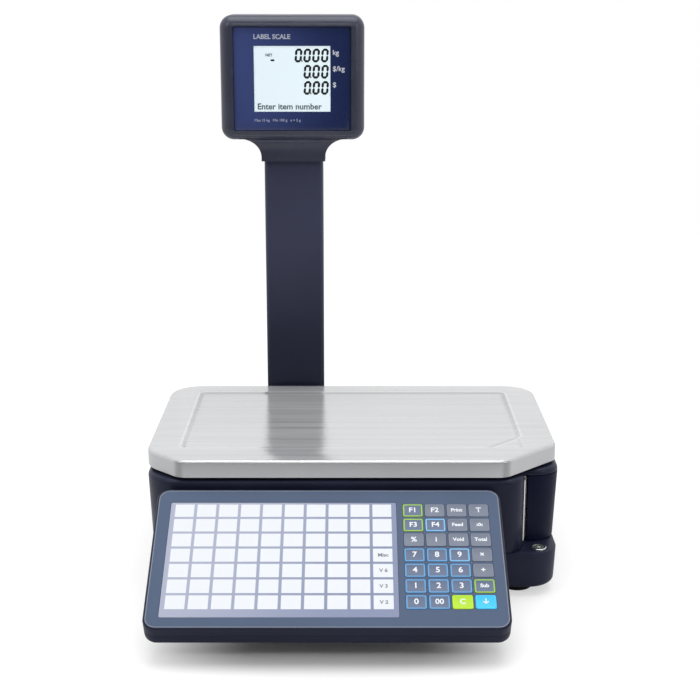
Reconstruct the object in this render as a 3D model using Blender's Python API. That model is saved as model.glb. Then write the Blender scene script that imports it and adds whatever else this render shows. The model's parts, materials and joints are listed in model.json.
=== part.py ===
"""Counter-top label printing scale with a pole display, as a Blender 4.5 script.

Metres, +Z up, the operator stands at -Y. The origin is on the table, under the middle of the scale.
Every object is one real piece; `printer_drawer` and the pieces on it slide out to +X together.
"""

import math

import bmesh
import bpy
from mathutils import Matrix, Vector

# ---- driving dimensions -------------------------------------------------------------------------
GAP = 0.0003  # kept between pieces that touch
WALL = 0.003  # moulded housing wall
THIN_WALL = 0.0025  # moulded cover wall

# Stainless weighing platter
PLATTER_WIDTH = 0.370
PLATTER_DEPTH = 0.2442
PLATTER_TOP = 0.130
PLATTER_X = -0.001
PLATTER_FRONT = -0.0777
PLATTER_SKIRT = 0.0155
PLATTER_SHEET = 0.0015
PLATTER_RECESS = 0.002

# Housing footprint, at its widest, which is its top edge
BODY_LEFT = -0.185
BODY_RIGHT = 0.186
BODY_FRONT = PLATTER_FRONT
BODY_REAR = 0.2118
BODY_BOTTOM = 0.008
BODY_TOP = 0.106
BODY_DRAFT = 0.042  # inward run of the walls for each unit of height below the top edge
SEAM = 0.042  # top of the base pan, and of the ledge with the spirit level
ROOF_TOP = 0.112
ROOF_INSET = 0.003

# Printer bay on the right, and the label slot at its front corner
BAY_LEFT = 0.0625
BAY_FRONT = -0.048
BAY_REAR = 0.165
BAY_TOP = BODY_TOP + 0.0004
SLOT_X = 0.152
DRAWER_FLOOR = SEAM + 0.0012
DOOR_REAR = 0.1582
HINGE = (0.1795, 0.1572)

# Feet
FOOT_X = 0.149
FOOT_Y = (-0.0467, 0.185)
STUD_RADIUS = 0.004

# Pole and display head
POLE_X = -0.060
POLE_Y = 0.1885
POLE_WIDTH = 0.059
POLE_DEPTH = 0.028
POLE_TOP = 0.396
HEAD_WIDTH = 0.1415
HEAD_BOTTOM = 0.384
HEAD_TOP = 0.5051
HEAD_THICKNESS = 0.054
HEAD_Y = 0.1815
NECK_BOTTOM = 0.3622
WINDOW_WIDTH = 0.1145
WINDOW_HEIGHT = 0.0995
WINDOW_Z = 0.4437

# Keypad, in its own frame: X along the key rows, Y up the slope, Z out of the keys
KEYPAD_TILT = math.radians(29)
KEYPAD_CENTRE = Vector((-0.0218, -0.1475, 0.0698))
KEYPAD_WIDTH = 0.2984
KEYPAD_LENGTH = 0.1484
KEYPAD_CORNER = 0.011
KEYPAD_SEAM = 0.0092
KEYPAD_THICKNESS = 0.020
KEY_PITCH_X = 0.0189
KEY_PITCH_Y = 0.016185
KEY_COLUMNS, KEY_ROWS = 4, 7
KEY_SIZE = (0.0170, 0.0138)
KEY_FIRST = (0.064, 0.0565)  # outer left corner of the first key
KEY_PROUD = 0.0004
CARD_BOX = (-0.1364, -0.0625, 0.0583, 0.0586)

KEY_NAMES = (
    ("mode_a", "mode_b", "print", "tare"),
    ("mode_c", "mode_d", "feed", "zero"),
    ("discount", "recall", "void", "total"),
    ("7", "8", "9", "times"),
    ("4", "5", "6", "plus"),
    ("1", "2", "3", "subtotal"),
    ("0", "00", "clear", "enter"),
)
KEY_COLOURS = {"clear": "green", "enter": "cyan", **{digit: "blue" for digit in "0123456789"}, "00": "blue"}

# Printer works, as plan positions
ROLL_CENTRE = (0.122, 0.100)
ROLL_RADIUS = 0.048
CORE_RADIUS = 0.0127
LABEL_Z = (0.048, 0.104)
PLATEN_CENTRE = (0.146, -0.026)
PLATEN_RADIUS = 0.007
HEAD_PIVOT = (0.162, 0.008)
REWIND_CENTRE = (0.094, 0.022)
GEAR_MODULE = 0.0015
GEAR_TEETH = 20
PINION_TEETH = 12
GEAR_Z = (0.0462, 0.0495)
GEAR_ANGLE = math.radians(158)  # direction from the platen's axis to the motor's
MOTOR_SIDE = 0.028

# Spirit level on the ledge
LEVEL = (0.1663, -0.0612)
LEVEL_RADIUS = 0.0072

# Load cell, lying front to back under the platter's middle
CELL_X = PLATTER_X
CELL_Y = (-0.020, 0.110)
CELL_Z = (0.040, 0.062)
POST_Y = 0.096
PLATTER_UNDER = PLATTER_TOP - PLATTER_RECESS - PLATTER_SHEET
CARRIER_TRAVEL = 0.0009

# Power inlet and switch in the rear wall, and the board in the base
INLET_X = (0.0012, 0.0288)
INLET_Z = (0.0152, 0.0368)
SWITCH_X = (0.0360, 0.0510)
SWITCH_Z = (0.0160, 0.0360)
SWITCH_Y = 0.2044
SWITCH_TILT = math.radians(5)
BOARD_X = (-0.136, -0.030)
BOARD_Y = (-0.060, 0.070)
BOARD_Z = (0.0180, 0.0196)
BOARD_POSTS = ((-0.130, -0.036), (-0.054, 0.062))


# ---- shape helpers ------------------------------------------------------------------------------
def outline(corners, inset=0.0, steps=4):
    """A rounded polygon: corners are (x, y, radius), counter-clockwise; inset moves every side inwards."""
    count = len(corners)
    points = [Vector(c[:2]) for c in corners]
    sides = [(points[(i + 1) % count] - points[i]).normalized() for i in range(count)]
    found = []
    for i in range(count):
        before, after = sides[i - 1], sides[i]
        turn = before.cross(after)
        corner = points[i] + (after - before) * (inset / turn)
        radius = corners[i][2] - math.copysign(inset, turn)
        half = math.atan2(abs(turn), 1 + before.dot(after))
        if corners[i][2] <= 0:
            found.append(corner)
            continue
        radius = max(radius, 0.0004)
        run = radius * math.tan(half)
        centre = corner - before * run + Vector((-before.y, before.x)) * math.copysign(radius, turn)
        start = corner - before * run - centre
        for k in range(steps + 1):
            swing = -2 * half * math.copysign(k / steps, turn)
            found.append(centre + start.copy().xy @ Matrix.Rotation(swing, 2))
    return found


def box_corners(x0, y0, x1, y1, radii=(0, 0, 0, 0)):
    """Corners of a rectangle for outline(), from front left, counter-clockwise."""
    return [(x0, y0, radii[0]), (x1, y0, radii[1]), (x1, y1, radii[2]), (x0, y1, radii[3])]


def loft(sections):
    """A closed solid through sections, each a list of as many points; the first and last are capped."""
    bm = bmesh.new()
    rings = [[bm.verts.new(p) for p in section] for section in sections]
    count = len(rings[0])
    for low, high in zip(rings, rings[1:]):
        for i in range(count):
            bm.faces.new((low[i], low[(i + 1) % count], high[(i + 1) % count], high[i]))
    bm.faces.new(list(reversed(rings[0])))
    bm.faces.new(rings[-1])
    bmesh.ops.recalc_face_normals(bm, faces=bm.faces)
    return bm


def at_height(points, z):
    return [Vector((p.x, p.y, z)) for p in points]


def prism(points, z0, z1):
    return loft([at_height(points, z0), at_height(points, z1)])


def block(x, y, z):
    """A box from three (low, high) pairs."""
    return prism(outline(box_corners(x[0], y[0], x[1], y[1])), z[0], z[1])


def circle(x, y, radius, sides=24):
    turn = 2 * math.pi / sides
    return [
        Vector((x + radius * math.cos(i * turn), y + radius * math.sin(i * turn))) for i in range(sides)
    ]


def rod(x, y, radius, z, sides=24):
    return prism(circle(x, y, radius, sides), z[0], z[1])


def turned(x, y, profile, sides=32):
    """A solid of revolution about the vertical through (x, y); profile is (radius, z) going up."""
    return loft([at_height(circle(x, y, r, sides), z) for r, z in profile])


def turned_ring(x, y, profile, sides=32):
    """A ring about the vertical through (x, y); profile is a closed loop of (radius, z)."""
    bm = bmesh.new()
    rings = [[bm.verts.new(p) for p in at_height(circle(x, y, r, sides), z)] for r, z in profile]
    for low, high in zip(rings, rings[1:] + rings[:1]):
        for i in range(sides):
            bm.faces.new((low[i], low[(i + 1) % sides], high[(i + 1) % sides], high[i]))
    bmesh.ops.recalc_face_normals(bm, faces=bm.faces)
    return bm


def moved(bm, matrix):
    bmesh.ops.transform(bm, matrix=matrix, verts=bm.verts)
    return bm


def as_object(name, bm):
    bmesh.ops.recalc_face_normals(bm, faces=bm.faces)
    if bm.calc_volume(signed=True) < 0:
        bmesh.ops.reverse_faces(bm, faces=bm.faces)
    mesh = bpy.data.meshes.new(name)
    bm.to_mesh(mesh)
    bm.free()
    made = bpy.data.objects.new(name, mesh)
    bpy.context.scene.collection.objects.link(made)
    return made


def combine(made, bm, operation):
    """Applies one Boolean of the shape bm to the object."""
    tool = as_object("tool", bm)
    step = made.modifiers.new("step", "BOOLEAN")
    step.operation = operation
    step.solver = "EXACT"
    step.object = tool
    bpy.context.view_layer.update()
    result = bpy.data.meshes.new_from_object(made.evaluated_get(bpy.context.evaluated_depsgraph_get()))
    made.modifiers.remove(step)
    made.data = result
    bpy.data.objects.remove(tool)


def piece(name, bm, look, join=(), cut=(), late_join=(), late_cut=(), joint_at=None):
    """One named sub-part: a first shape, with others joined to it, then cut from it, twice over."""
    made = as_object(name, bm)
    steps = ((join, "UNION"), (cut, "DIFFERENCE"), (late_join, "UNION"), (late_cut, "DIFFERENCE"))
    for shapes, operation in steps:
        for shape in shapes:
            combine(made, shape, operation)
    made.data.name = name
    made.data.materials.clear()
    made.data.materials.append(look)
    made.data.shade_smooth()
    made.data.set_sharp_from_angle(angle=math.radians(35))
    if joint_at is not None:
        made.data.transform(Matrix.Translation(-Vector(joint_at)))
        made.location = joint_at
    return made


def finish(name, colour, roughness, metallic=0.0):
    made = bpy.data.materials.new(name)
    made.use_nodes = True
    shader = made.node_tree.nodes["Principled BSDF"]
    shader.inputs["Base Color"].default_value = (*colour, 1)
    shader.inputs["Roughness"].default_value = roughness
    shader.inputs["Metallic"].default_value = metallic
    return made


# ---- outlines shared by several pieces ----------------------------------------------------------
def platter_corners(chamfers, radius, x0, y0, x1, y1):
    """A rectangle with its corners cut off: chamfers from front left, counter-clockwise."""
    fl, fr, rr, rl = chamfers
    return [
        (x0 + fl, y0, radius), (x1 - fr, y0, radius), (x1, y0 + fr, radius), (x1, y1 - rr, radius),
        (x1 - rr, y1, radius), (x0 + rl, y1, radius), (x0, y1 - rl, radius), (x0, y0 + fl, radius),
    ]


def body_corners():
    return box_corners(BODY_LEFT, BODY_FRONT, BODY_RIGHT, BODY_REAR, (0.036, 0.027, 0.024, 0.024))


def housing_corners():
    """The housing's plan: the body's, less the corner in front of the printer door."""
    return [
        (BODY_LEFT, BODY_FRONT, 0.036), (SLOT_X, BODY_FRONT, 0.020), (SLOT_X, BAY_FRONT, 0),
        (BODY_RIGHT, BAY_FRONT, 0.024), (BODY_RIGHT, BODY_REAR, 0.024), (BODY_LEFT, BODY_REAR, 0.024),
    ]


def draft(z):
    return (BODY_TOP - z) * BODY_DRAFT


def drafted(corners, z, inset=0.0):
    return at_height(outline(corners, inset + draft(z)), z)


def head_corners():
    """The display head seen from the front, with its neck flaring round the pole."""
    half, neck, foot = HEAD_WIDTH / 2, 0.0318, 0.047
    return [
        (POLE_X - neck, NECK_BOTTOM, 0), (POLE_X + neck, NECK_BOTTOM, 0),
        (POLE_X + neck, HEAD_BOTTOM - 0.002, 0.0145), (POLE_X + foot + 0.004, HEAD_BOTTOM - 0.002, 0.002),
        (POLE_X + half, HEAD_BOTTOM, 0.0125), (POLE_X + half, HEAD_TOP, 0.0125),
        (POLE_X - half, HEAD_TOP, 0.0125), (POLE_X - half, HEAD_BOTTOM, 0.0125),
        (POLE_X - foot - 0.004, HEAD_BOTTOM - 0.002, 0.002), (POLE_X - neck, HEAD_BOTTOM - 0.002, 0.0145),
    ]


def door_corners():
    """The printer door in plan, outside: a short front face, a round corner and the long side."""
    edge = SLOT_X + 0.0045
    return [
        (edge, BAY_FRONT, 0.001), (BODY_RIGHT, BAY_FRONT, 0.024),
        (BODY_RIGHT, DOOR_REAR, 0), (edge, DOOR_REAR, 0),
    ]


# ---- base ---------------------------------------------------------------------------------------
def pole_section(grow, z0, z1):
    """The pole's outer section, grown on every side."""
    x, y = POLE_WIDTH / 2 + grow, POLE_DEPTH / 2 + grow
    corners = box_corners(POLE_X - x, POLE_Y - y, POLE_X + x, POLE_Y + y, (0.004,) * 4)
    return prism(outline(corners, steps=2), z0, z1)


def make_base_pan(plastic):
    floor = BODY_BOTTOM + WALL
    inner = 0.0065
    outer = loft([
        drafted(body_corners(), BODY_BOTTOM, 0.004),
        drafted(body_corners(), BODY_BOTTOM + 0.004),
        drafted(body_corners(), SEAM),
    ])
    left_well = prism(outline(box_corners(
        BODY_LEFT + inner, BODY_FRONT + inner, 0.058, BODY_REAR - inner, (0.028, 0, 0, 0.018)
    )), floor, SEAM + 0.01)
    under_deck = prism(outline(box_corners(
        0.050, BODY_FRONT + 0.007, BODY_RIGHT - inner, BODY_REAR - 0.007, (0, 0.020, 0.018, 0)
    )), floor, SEAM - WALL)
    feet = [(side * FOOT_X, y) for side in (-1, 1) for y in FOOT_Y]
    low = floor - 0.001
    added = [rod(x, y, 0.009, (low, 0.029), 16) for x, y in feet]
    added += [rod(x, y, 0.003, (low, BOARD_Z[0] - GAP), 12) for x in BOARD_POSTS[0] for y in BOARD_POSTS[1]]
    fixed_end = (CELL_Y[0], CELL_Y[0] + 0.032)
    added.append(block((CELL_X - 0.015, CELL_X + 0.015), fixed_end, (low, CELL_Z[0] - GAP)))
    added.append(pole_section(0.0042, low, SEAM - 0.002))
    removed = [rod(x, y, STUD_RADIUS + 0.0004, (0.0, 0.0265), 16) for x, y in feet]
    removed += [
        pole_section(2 * GAP, floor, SEAM + 0.001),
        rod(*LEVEL, LEVEL_RADIUS + GAP, (SEAM - 0.01, SEAM + 0.01)),
        block(INLET_X, (BODY_REAR - 0.010, BODY_REAR + 0.01), INLET_Z),
        block(SWITCH_X, (BODY_REAR - 0.010, BODY_REAR + 0.01), SWITCH_Z),
    ]
    return piece("base_pan", outer, plastic, cut=[left_well, under_deck], late_join=added, late_cut=removed)


def make_foot(name, x, y, rubber):
    shape = turned(x, y, [
        (0.0125, 0.0), (0.014, 0.0012), (0.014, 0.0045), (0.0125, 0.006),
        (STUD_RADIUS, 0.006), (STUD_RADIUS, 0.0255),
    ], 20)
    return piece(name, shape, rubber, joint_at=(x, y, 0.0))


def make_housing(plastic):
    corners = housing_corners()
    outer = loft([
        drafted(corners, SEAM + GAP),
        drafted(corners, BODY_TOP),
        at_height(outline(corners, 0.001), BODY_TOP + 0.004),
        at_height(outline(corners, ROOF_INSET), ROOF_TOP),
    ])
    edge = 0.006
    interior = prism(outline([
        (BODY_LEFT + edge, BODY_FRONT + edge, 0.030), (SLOT_X - edge, BODY_FRONT + edge, 0.014),
        (SLOT_X - edge, BAY_FRONT - WALL, 0), (BAY_LEFT - WALL, BAY_FRONT - WALL, 0),
        (BAY_LEFT - WALL, BAY_REAR + WALL, 0), (BODY_RIGHT - edge, BAY_REAR + WALL, 0),
        (BODY_RIGHT - edge, BODY_REAR - edge, 0.018), (BODY_LEFT + edge, BODY_REAR - edge, 0.018),
    ]), SEAM - 0.001, ROOF_TOP - WALL)
    bay = block((BAY_LEFT, BODY_RIGHT + 0.01), (BAY_FRONT - 0.0001, BAY_REAR), (SEAM - 0.001, BAY_TOP))
    post_hole = rod(CELL_X, POST_Y, 0.013, (ROOF_TOP - 0.01, ROOF_TOP + 0.01))
    pole_hole = pole_section(GAP, ROOF_TOP - 0.01, ROOF_TOP + 0.01)
    return piece("upper_housing", outer, plastic, cut=[interior, bay, post_hole, pole_hole])


def make_load_cell(metal):
    body = block((CELL_X - 0.0125, CELL_X + 0.0125), CELL_Y, CELL_Z)
    middle, height = (CELL_Y[0] + CELL_Y[1]) / 2, (CELL_Z[0] + CELL_Z[1]) / 2
    holes = []
    for side in (-1, 1):
        hole = rod(0, 0, 0.008, (-0.03, 0.03), 20)
        place = Matrix.Translation((CELL_X, middle + side * 0.012, height))
        moved(hole, place @ Matrix.Rotation(math.pi / 2, 4, "Y"))
        holes.append(hole)
    return piece("load_cell", body, metal, cut=holes)


def make_main_board(laminate):
    board = block(BOARD_X, BOARD_Y, BOARD_Z)
    top = BOARD_Z[1] - 0.0002
    parts = [
        block((-0.124, -0.098), (-0.046, -0.014), (top, top + 0.014)),
        block((-0.084, -0.064), (-0.030, -0.010), (top, top + 0.003)),
        block((-0.070, -0.046), (0.020, 0.026), (top, top + 0.009)),
    ]
    return piece("main_board", board, laminate, join=parts)


def make_power_inlet(plastic):
    x, z = [v + s * GAP for v, s in zip(INLET_X, (1, -1))], [v + s * GAP for v, s in zip(INLET_Z, (1, -1))]
    rear = BODY_REAR - 0.0022
    middle, height = sum(x) / 2, sum(z) / 2
    shell = block(x, (0.1875, rear), z)
    mouth = (middle - 0.0115, middle + 0.0115)
    socket = block(mouth, (rear - 0.016, rear + 0.001), (height - 0.008, height + 0.008))
    pins = [
        block((px - 0.001, px + 0.001), (rear - 0.017, rear - 0.006), (pz - 0.002, pz + 0.002))
        for px, pz in (
            (middle - 0.007, height - 0.002), (middle, height + 0.002), (middle + 0.007, height - 0.002),
        )
    ]
    return piece("power_inlet", shell, plastic, cut=[socket], late_join=pins)


def make_power_switch(plastic):
    middle = (sum(SWITCH_X) / 2, SWITCH_Y, sum(SWITCH_Z) / 2)
    half_x, half_z = (SWITCH_X[1] - SWITCH_X[0]) / 2 - 0.0006, (SWITCH_Z[1] - SWITCH_Z[0]) / 2 - 0.0012
    profile = [
        Vector((-0.004, -half_z + 0.003)), Vector((0.0045, -half_z)), Vector((0.0036, 0)),
        Vector((0.0045, half_z)), Vector((-0.004, half_z - 0.003)),
    ]
    turn = Matrix.Rotation(SWITCH_TILT, 2)
    sections = [[Vector((x, *(turn @ p))) + Vector(middle) for p in profile] for x in (-half_x, half_x)]
    return piece("power_switch", loft(sections), plastic, joint_at=middle)


def make_spirit_level(metal):
    shape = turned(*LEVEL, [
        (0.0058, SEAM - 0.0055), (LEVEL_RADIUS, SEAM - 0.0045), (LEVEL_RADIUS, SEAM + 0.0008),
        (LEVEL_RADIUS - 0.0008, SEAM + 0.0014), (LEVEL_RADIUS - 0.0019, SEAM + 0.0014),
        (LEVEL_RADIUS - 0.0022, SEAM + 0.0006),
    ], 28)
    return piece("spirit_level", shape, metal)


# ---- platter and what carries it ----------------------------------------------------------------
def make_load_carrier(metal):
    middle = PLATTER_FRONT + PLATTER_DEPTH / 2
    z = (0.1170, 0.1205)
    hub = block((CELL_X - 0.020, CELL_X + 0.020), (-0.050, 0.140), z)
    arms = [block((CELL_X - 0.140, CELL_X + 0.140), (y - 0.010, y + 0.010), z) for y in (-0.020, 0.110)]
    pads = [
        rod(CELL_X + side * 0.128, y, 0.008, (z[0], PLATTER_UNDER - GAP), 16)
        for side in (-1, 1) for y in (-0.020, 0.110)
    ]
    post = rod(CELL_X, POST_Y, 0.009, (CELL_Z[1] + CARRIER_TRAVEL + GAP, z[1] - 0.001), 20)
    reach = (middle - 0.070, middle + 0.070)
    spine = block((CELL_X - 0.003, CELL_X + 0.003), reach, (z[1] - 0.001, z[1] + 0.003))
    added = [*arms, *pads, post, spine]
    return piece("load_carrier", hub, metal, join=added, joint_at=(CELL_X, POST_Y, z[0]))


def make_platter(steel):
    x0, y0 = PLATTER_X - PLATTER_WIDTH / 2, PLATTER_FRONT
    x1, y1 = x0 + PLATTER_WIDTH, y0 + PLATTER_DEPTH
    corners = platter_corners((0.032, 0.050, 0.028, 0.030), 0.012, x0, y0, x1, y1)
    low = PLATTER_TOP - PLATTER_SKIRT
    outer = loft([
        at_height(outline(corners), low),
        at_height(outline(corners), PLATTER_TOP - 0.0035),
        at_height(outline(corners, 0.0008), PLATTER_TOP - 0.0012),
        at_height(outline(corners, 0.0032), PLATTER_TOP),
    ])
    inside = loft([
        at_height(outline(corners, PLATTER_SHEET), low - 0.001),
        at_height(outline(corners, PLATTER_SHEET), PLATTER_UNDER - 0.003),
        at_height(outline(corners, PLATTER_SHEET + 0.003), PLATTER_UNDER),
    ])
    dish_box = (x0 + 0.031, y0 + 0.039, x1 - 0.031, y1 - 0.026)
    dish = platter_corners((0.004, 0.034, 0.004, 0.004), 0.006, *dish_box)
    recess = loft([
        at_height(outline(dish, 0.0025), PLATTER_TOP - PLATTER_RECESS),
        at_height(outline(dish), PLATTER_TOP + 0.0002),
    ])
    middle = (PLATTER_X, y0 + PLATTER_DEPTH / 2, low)
    return piece("platter", outer, steel, cut=[inside, recess], joint_at=middle)


# ---- pole and display head ----------------------------------------------------------------------
def make_pole(metal):
    inside = pole_section(-0.002, 0.0, POLE_TOP + 0.01)
    return piece("pole", pole_section(0, BODY_BOTTOM + WALL + GAP, POLE_TOP), metal, cut=[inside])


def upright(points, y):
    return [Vector((p.x, y, p.y)) for p in points]


def mirrored(bm, rear):
    """Turns a shape drawn for the operator's side round to the customer's."""
    if rear:
        moved(bm, Matrix.Translation((0, 2 * HEAD_Y, 0)) @ Matrix.Scale(-1, 4, (0, 1, 0)))
        bmesh.ops.reverse_faces(bm, faces=bm.faces)
    return bm


def window_box(grow, y0, y1):
    x, z = WINDOW_WIDTH / 2 + grow, WINDOW_HEIGHT / 2 + grow
    corners = box_corners(POLE_X - x, WINDOW_Z - z, POLE_X + x, WINDOW_Z + z, (0.0035 + grow,) * 4)
    return loft([upright(outline(corners), y) for y in (y0, y1)])


def make_head_half(name, plastic, rear=False):
    corners = head_corners()
    front = HEAD_Y - HEAD_THICKNESS / 2
    shell = loft([
        upright(outline(corners, 0.0040), front),
        upright(outline(corners, 0.0012), front + 0.0016),
        upright(outline(corners), front + 0.0050),
        upright(outline(corners), HEAD_Y - GAP / 2),
    ])
    hollow = box_corners(
        POLE_X - HEAD_WIDTH / 2 + WALL, HEAD_BOTTOM + 0.004,
        POLE_X + HEAD_WIDTH / 2 - WALL, HEAD_TOP - WALL, (0.009,) * 4,
    )
    x, z = WINDOW_WIDTH / 2, WINDOW_HEIGHT / 2
    frame = box_corners(POLE_X - x, WINDOW_Z - z, POLE_X + x, WINDOW_Z + z, (0.004,) * 4)
    bezel = [outline(frame, -grown) for grown in (0.004, 0.0006)]
    cuts = [
        loft([upright(outline(hollow), y) for y in (front + 0.0075, HEAD_Y + 0.01)]),
        loft([upright(bezel[0], front - 0.0001), upright(bezel[1], front + 0.0026)]),
        window_box(GAP, front + 0.0020, front + 0.0048),
        window_box(-0.003, front + 0.0040, front + 0.0090),
    ]
    sleeve = pole_section(GAP, NECK_BOTTOM - 0.01, POLE_TOP + GAP)
    return piece(name, mirrored(shell, rear), plastic, cut=[*(mirrored(c, rear) for c in cuts), sleeve])


def make_window(name, glass, rear=False):
    front = HEAD_Y - HEAD_THICKNESS / 2
    return piece(name, mirrored(window_box(0, front + 0.0030, front + 0.0045), rear), glass)


def make_display(name, panel, rear=False):
    front = HEAD_Y - HEAD_THICKNESS / 2
    x, z = 0.050, 0.043
    shape = block((POLE_X - x, POLE_X + x), (front + 0.0052, front + 0.0110), (WINDOW_Z - z, WINDOW_Z + z))
    return piece(name, mirrored(shape, rear), panel)


# ---- keypad -------------------------------------------------------------------------------------
def on_keypad(bm):
    return moved(bm, Matrix.Translation(KEYPAD_CENTRE) @ Matrix.Rotation(KEYPAD_TILT, 4, "X"))


def keypad_outline(inset=0.0):
    x, y, r = KEYPAD_WIDTH / 2, KEYPAD_LENGTH / 2, KEYPAD_CORNER
    return outline(box_corners(-x, -y, x, y, (r, r, r, r)), inset)


def behind_keypad():
    """What is cut off the keypad's rear edge so that it lies flat on the housing."""
    return block((-0.3, 0.3), (BODY_FRONT - GAP, 0), (0, 0.3))


def make_keypad_base(plastic):
    z0, z1 = -KEYPAD_THICKNESS, -KEYPAD_SEAM - GAP
    shell = on_keypad(loft([
        at_height(keypad_outline(0.0045), z0), at_height(keypad_outline(0.0012), z0 + 0.0016),
        at_height(keypad_outline(0.0003), z0 + 0.005), at_height(keypad_outline(), z1),
    ]))
    bracket = block((-0.090, 0.050), (-0.112, BODY_FRONT - GAP), (0.046, 0.072))
    tray = on_keypad(prism(keypad_outline(0.006), z0 + THIN_WALL, 0.01))
    return piece("keypad_base", shell, plastic, join=[bracket], cut=[behind_keypad(), tray])


def key_corner(column, row):
    return KEY_FIRST[0] + column * KEY_PITCH_X, KEY_FIRST[1] - row * KEY_PITCH_Y


def make_keypad_frame(plastic):
    shell = on_keypad(loft([
        at_height(keypad_outline(), -KEYPAD_SEAM), at_height(keypad_outline(), -0.0014),
        at_height(keypad_outline(0.0005), -0.0004), at_height(keypad_outline(0.0016), 0.0),
    ]))
    x0, y0, x1, y1 = CARD_BOX
    cuts = [
        behind_keypad(),
        on_keypad(prism(keypad_outline(0.006), -0.02, -THIN_WALL)),
        on_keypad(prism(outline(box_corners(x0 - GAP, y0 - GAP, x1 + GAP, y1 + GAP)), -0.0010, 0.001)),
    ]
    for row in range(KEY_ROWS):
        for column in range(KEY_COLUMNS):
            x, y = key_corner(column, row)
            across, up = (x - GAP, x + KEY_SIZE[0] + GAP), (y - KEY_SIZE[1] - GAP, y + GAP)
            cuts.append(on_keypad(block(across, up, (-0.01, 0.001))))
    return piece("keypad_frame", shell, plastic, cut=cuts)


def make_preset_sheet(paper):
    x0, y0, x1, y1 = CARD_BOX
    sheet = prism(outline(box_corners(x0, y0, x1, y1)), -0.0007, -0.0001)
    return piece("preset_sheet", on_keypad(sheet), paper)


def make_keys(finishes):
    """The function keys, row by row from the top; each slides straight into the keypad."""
    for row, names in enumerate(KEY_NAMES):
        for column, name in enumerate(names):
            x, y = key_corner(column, row)
            cap = on_keypad(block((x, x + KEY_SIZE[0]), (y - KEY_SIZE[1], y), (-0.0045, KEY_PROUD)))
            middle = Vector((x + KEY_SIZE[0] / 2, y - KEY_SIZE[1] / 2, 0))
            middle.rotate(Matrix.Rotation(KEYPAD_TILT, 3, "X"))
            finish = finishes[KEY_COLOURS.get(name, "grey")]
            piece("key_" + name, cap, finish, joint_at=KEYPAD_CENTRE + middle)


# ---- label printer ------------------------------------------------------------------------------
def gear_outline(x, y, teeth, phase):
    """A straight-sided spur gear; phase is the direction in which one tooth points."""
    pitch = GEAR_MODULE * teeth / 2
    step = 2 * math.pi / teeth
    marks = [(-0.36, pitch - 1.0 * GEAR_MODULE), (-0.12, pitch + 0.7 * GEAR_MODULE)]
    marks += [(-turn, radius) for turn, radius in reversed(marks)]
    found = []
    for tooth in range(teeth):
        for turn, radius in marks:
            angle = phase + (tooth + turn) * step
            found.append(Vector((x + radius * math.cos(angle), y + radius * math.sin(angle))))
    return found


def motor_axis():
    reach = GEAR_MODULE * (GEAR_TEETH + PINION_TEETH) / 2
    return PLATEN_CENTRE[0] + reach * math.cos(GEAR_ANGLE), PLATEN_CENTRE[1] + reach * math.sin(GEAR_ANGLE)


def make_drawer(metal):
    z = (DRAWER_FLOOR, DRAWER_FLOOR + 0.002)
    plate = prism(outline([
        (BAY_LEFT + 0.002, BAY_FRONT + 0.0062, 0),
        (0.156, BAY_FRONT + 0.0062, 0), (0.178, BAY_FRONT + 0.029, 0.004),
        (0.178, BAY_REAR - 0.002, 0), (BAY_LEFT + 0.002, BAY_REAR - 0.002, 0),
    ]), *z)
    back = block((BAY_LEFT + 0.002, BAY_LEFT + 0.004), (-0.030, BAY_REAR - 0.002), (z[0], 0.100))
    roll_post = rod(*ROLL_CENTRE, CORE_RADIUS - 0.0010, (z[0], 0.1015))
    rewind_post = rod(*REWIND_CENTRE, 0.0045, (z[0], 0.1015), 16)
    head_post = rod(*HEAD_PIVOT, 0.0025, (z[0], 0.1015), 16)
    knuckle = rod(*HINGE, 0.0020, (z[0], 0.0500), 16)
    ear = block((0.170, HINGE[0]), (HINGE[1] - 0.0020, HINGE[1] + 0.0020), z)
    mx, my = motor_axis()
    half = MOTOR_SIDE / 2 - 0.002
    corners = ((-1, 1), (-1, -1), (1, 1))
    legs = [rod(mx + sx * half, my + sy * half, 0.0018, (z[0], 0.0502), 12) for sx, sy in corners]
    hole = rod(*PLATEN_CENTRE, 0.0030, (0, 0.06), 16)
    return piece(
        "printer_drawer", plate, metal, join=[back, roll_post, rewind_post, head_post, knuckle, ear, *legs],
        cut=[hole], joint_at=(BAY_LEFT + 0.002, 0.058, DRAWER_FLOOR),
    )


def door_outline(z, inset):
    return at_height(outline(door_corners(), draft(z) + inset), z)


def make_door(plastic):
    z0, z1 = SEAM + 0.0008, BODY_TOP - 0.0003
    outer = loft([door_outline(z0, 0), door_outline(z1, 0)])
    back = SLOT_X + 0.0045 + draft(z0)
    inside = prism(outline([
        (back - 0.05, BAY_FRONT + 0.0055, 0), (BODY_RIGHT - 0.0055, BAY_FRONT + 0.0055, 0.0185),
        (BODY_RIGHT - 0.0055, DOOR_REAR + 0.05, 0), (back - 0.05, DOOR_REAR + 0.05, 0),
    ]), 0, 0.2)
    x, y = HINGE
    ear = block((x - 0.0025, BODY_RIGHT - 0.0045), (y - 0.010, y + 0.0010), (0.0503, 0.0530))
    relief = [
        rod(x, y, 0.0026, (0, 0.0503), 16),
        block((x - 0.01, x), (y - 0.0024, y + 0.0024), (0, 0.0503)),
    ]
    return piece(
        "printer_door", outer, plastic, cut=[inside], late_join=[ear], late_cut=relief, joint_at=(x, y, z0),
    )


def make_tear_bar(metal):
    bar = block((SLOT_X + GAP, SLOT_X + 0.0011), (-0.0590, BAY_FRONT - 0.0008), (0.0480, 0.1058))
    return piece("tear_bar", bar, metal)


def make_label_roll(paper):
    z0, z1 = LABEL_Z
    profile = [(CORE_RADIUS, z0), (ROLL_RADIUS, z0), (ROLL_RADIUS, z1), (CORE_RADIUS, z1)]
    shape = turned_ring(*ROLL_CENTRE, profile, 40)
    return piece("label_roll", shape, paper, joint_at=(*ROLL_CENTRE, z0))


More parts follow.
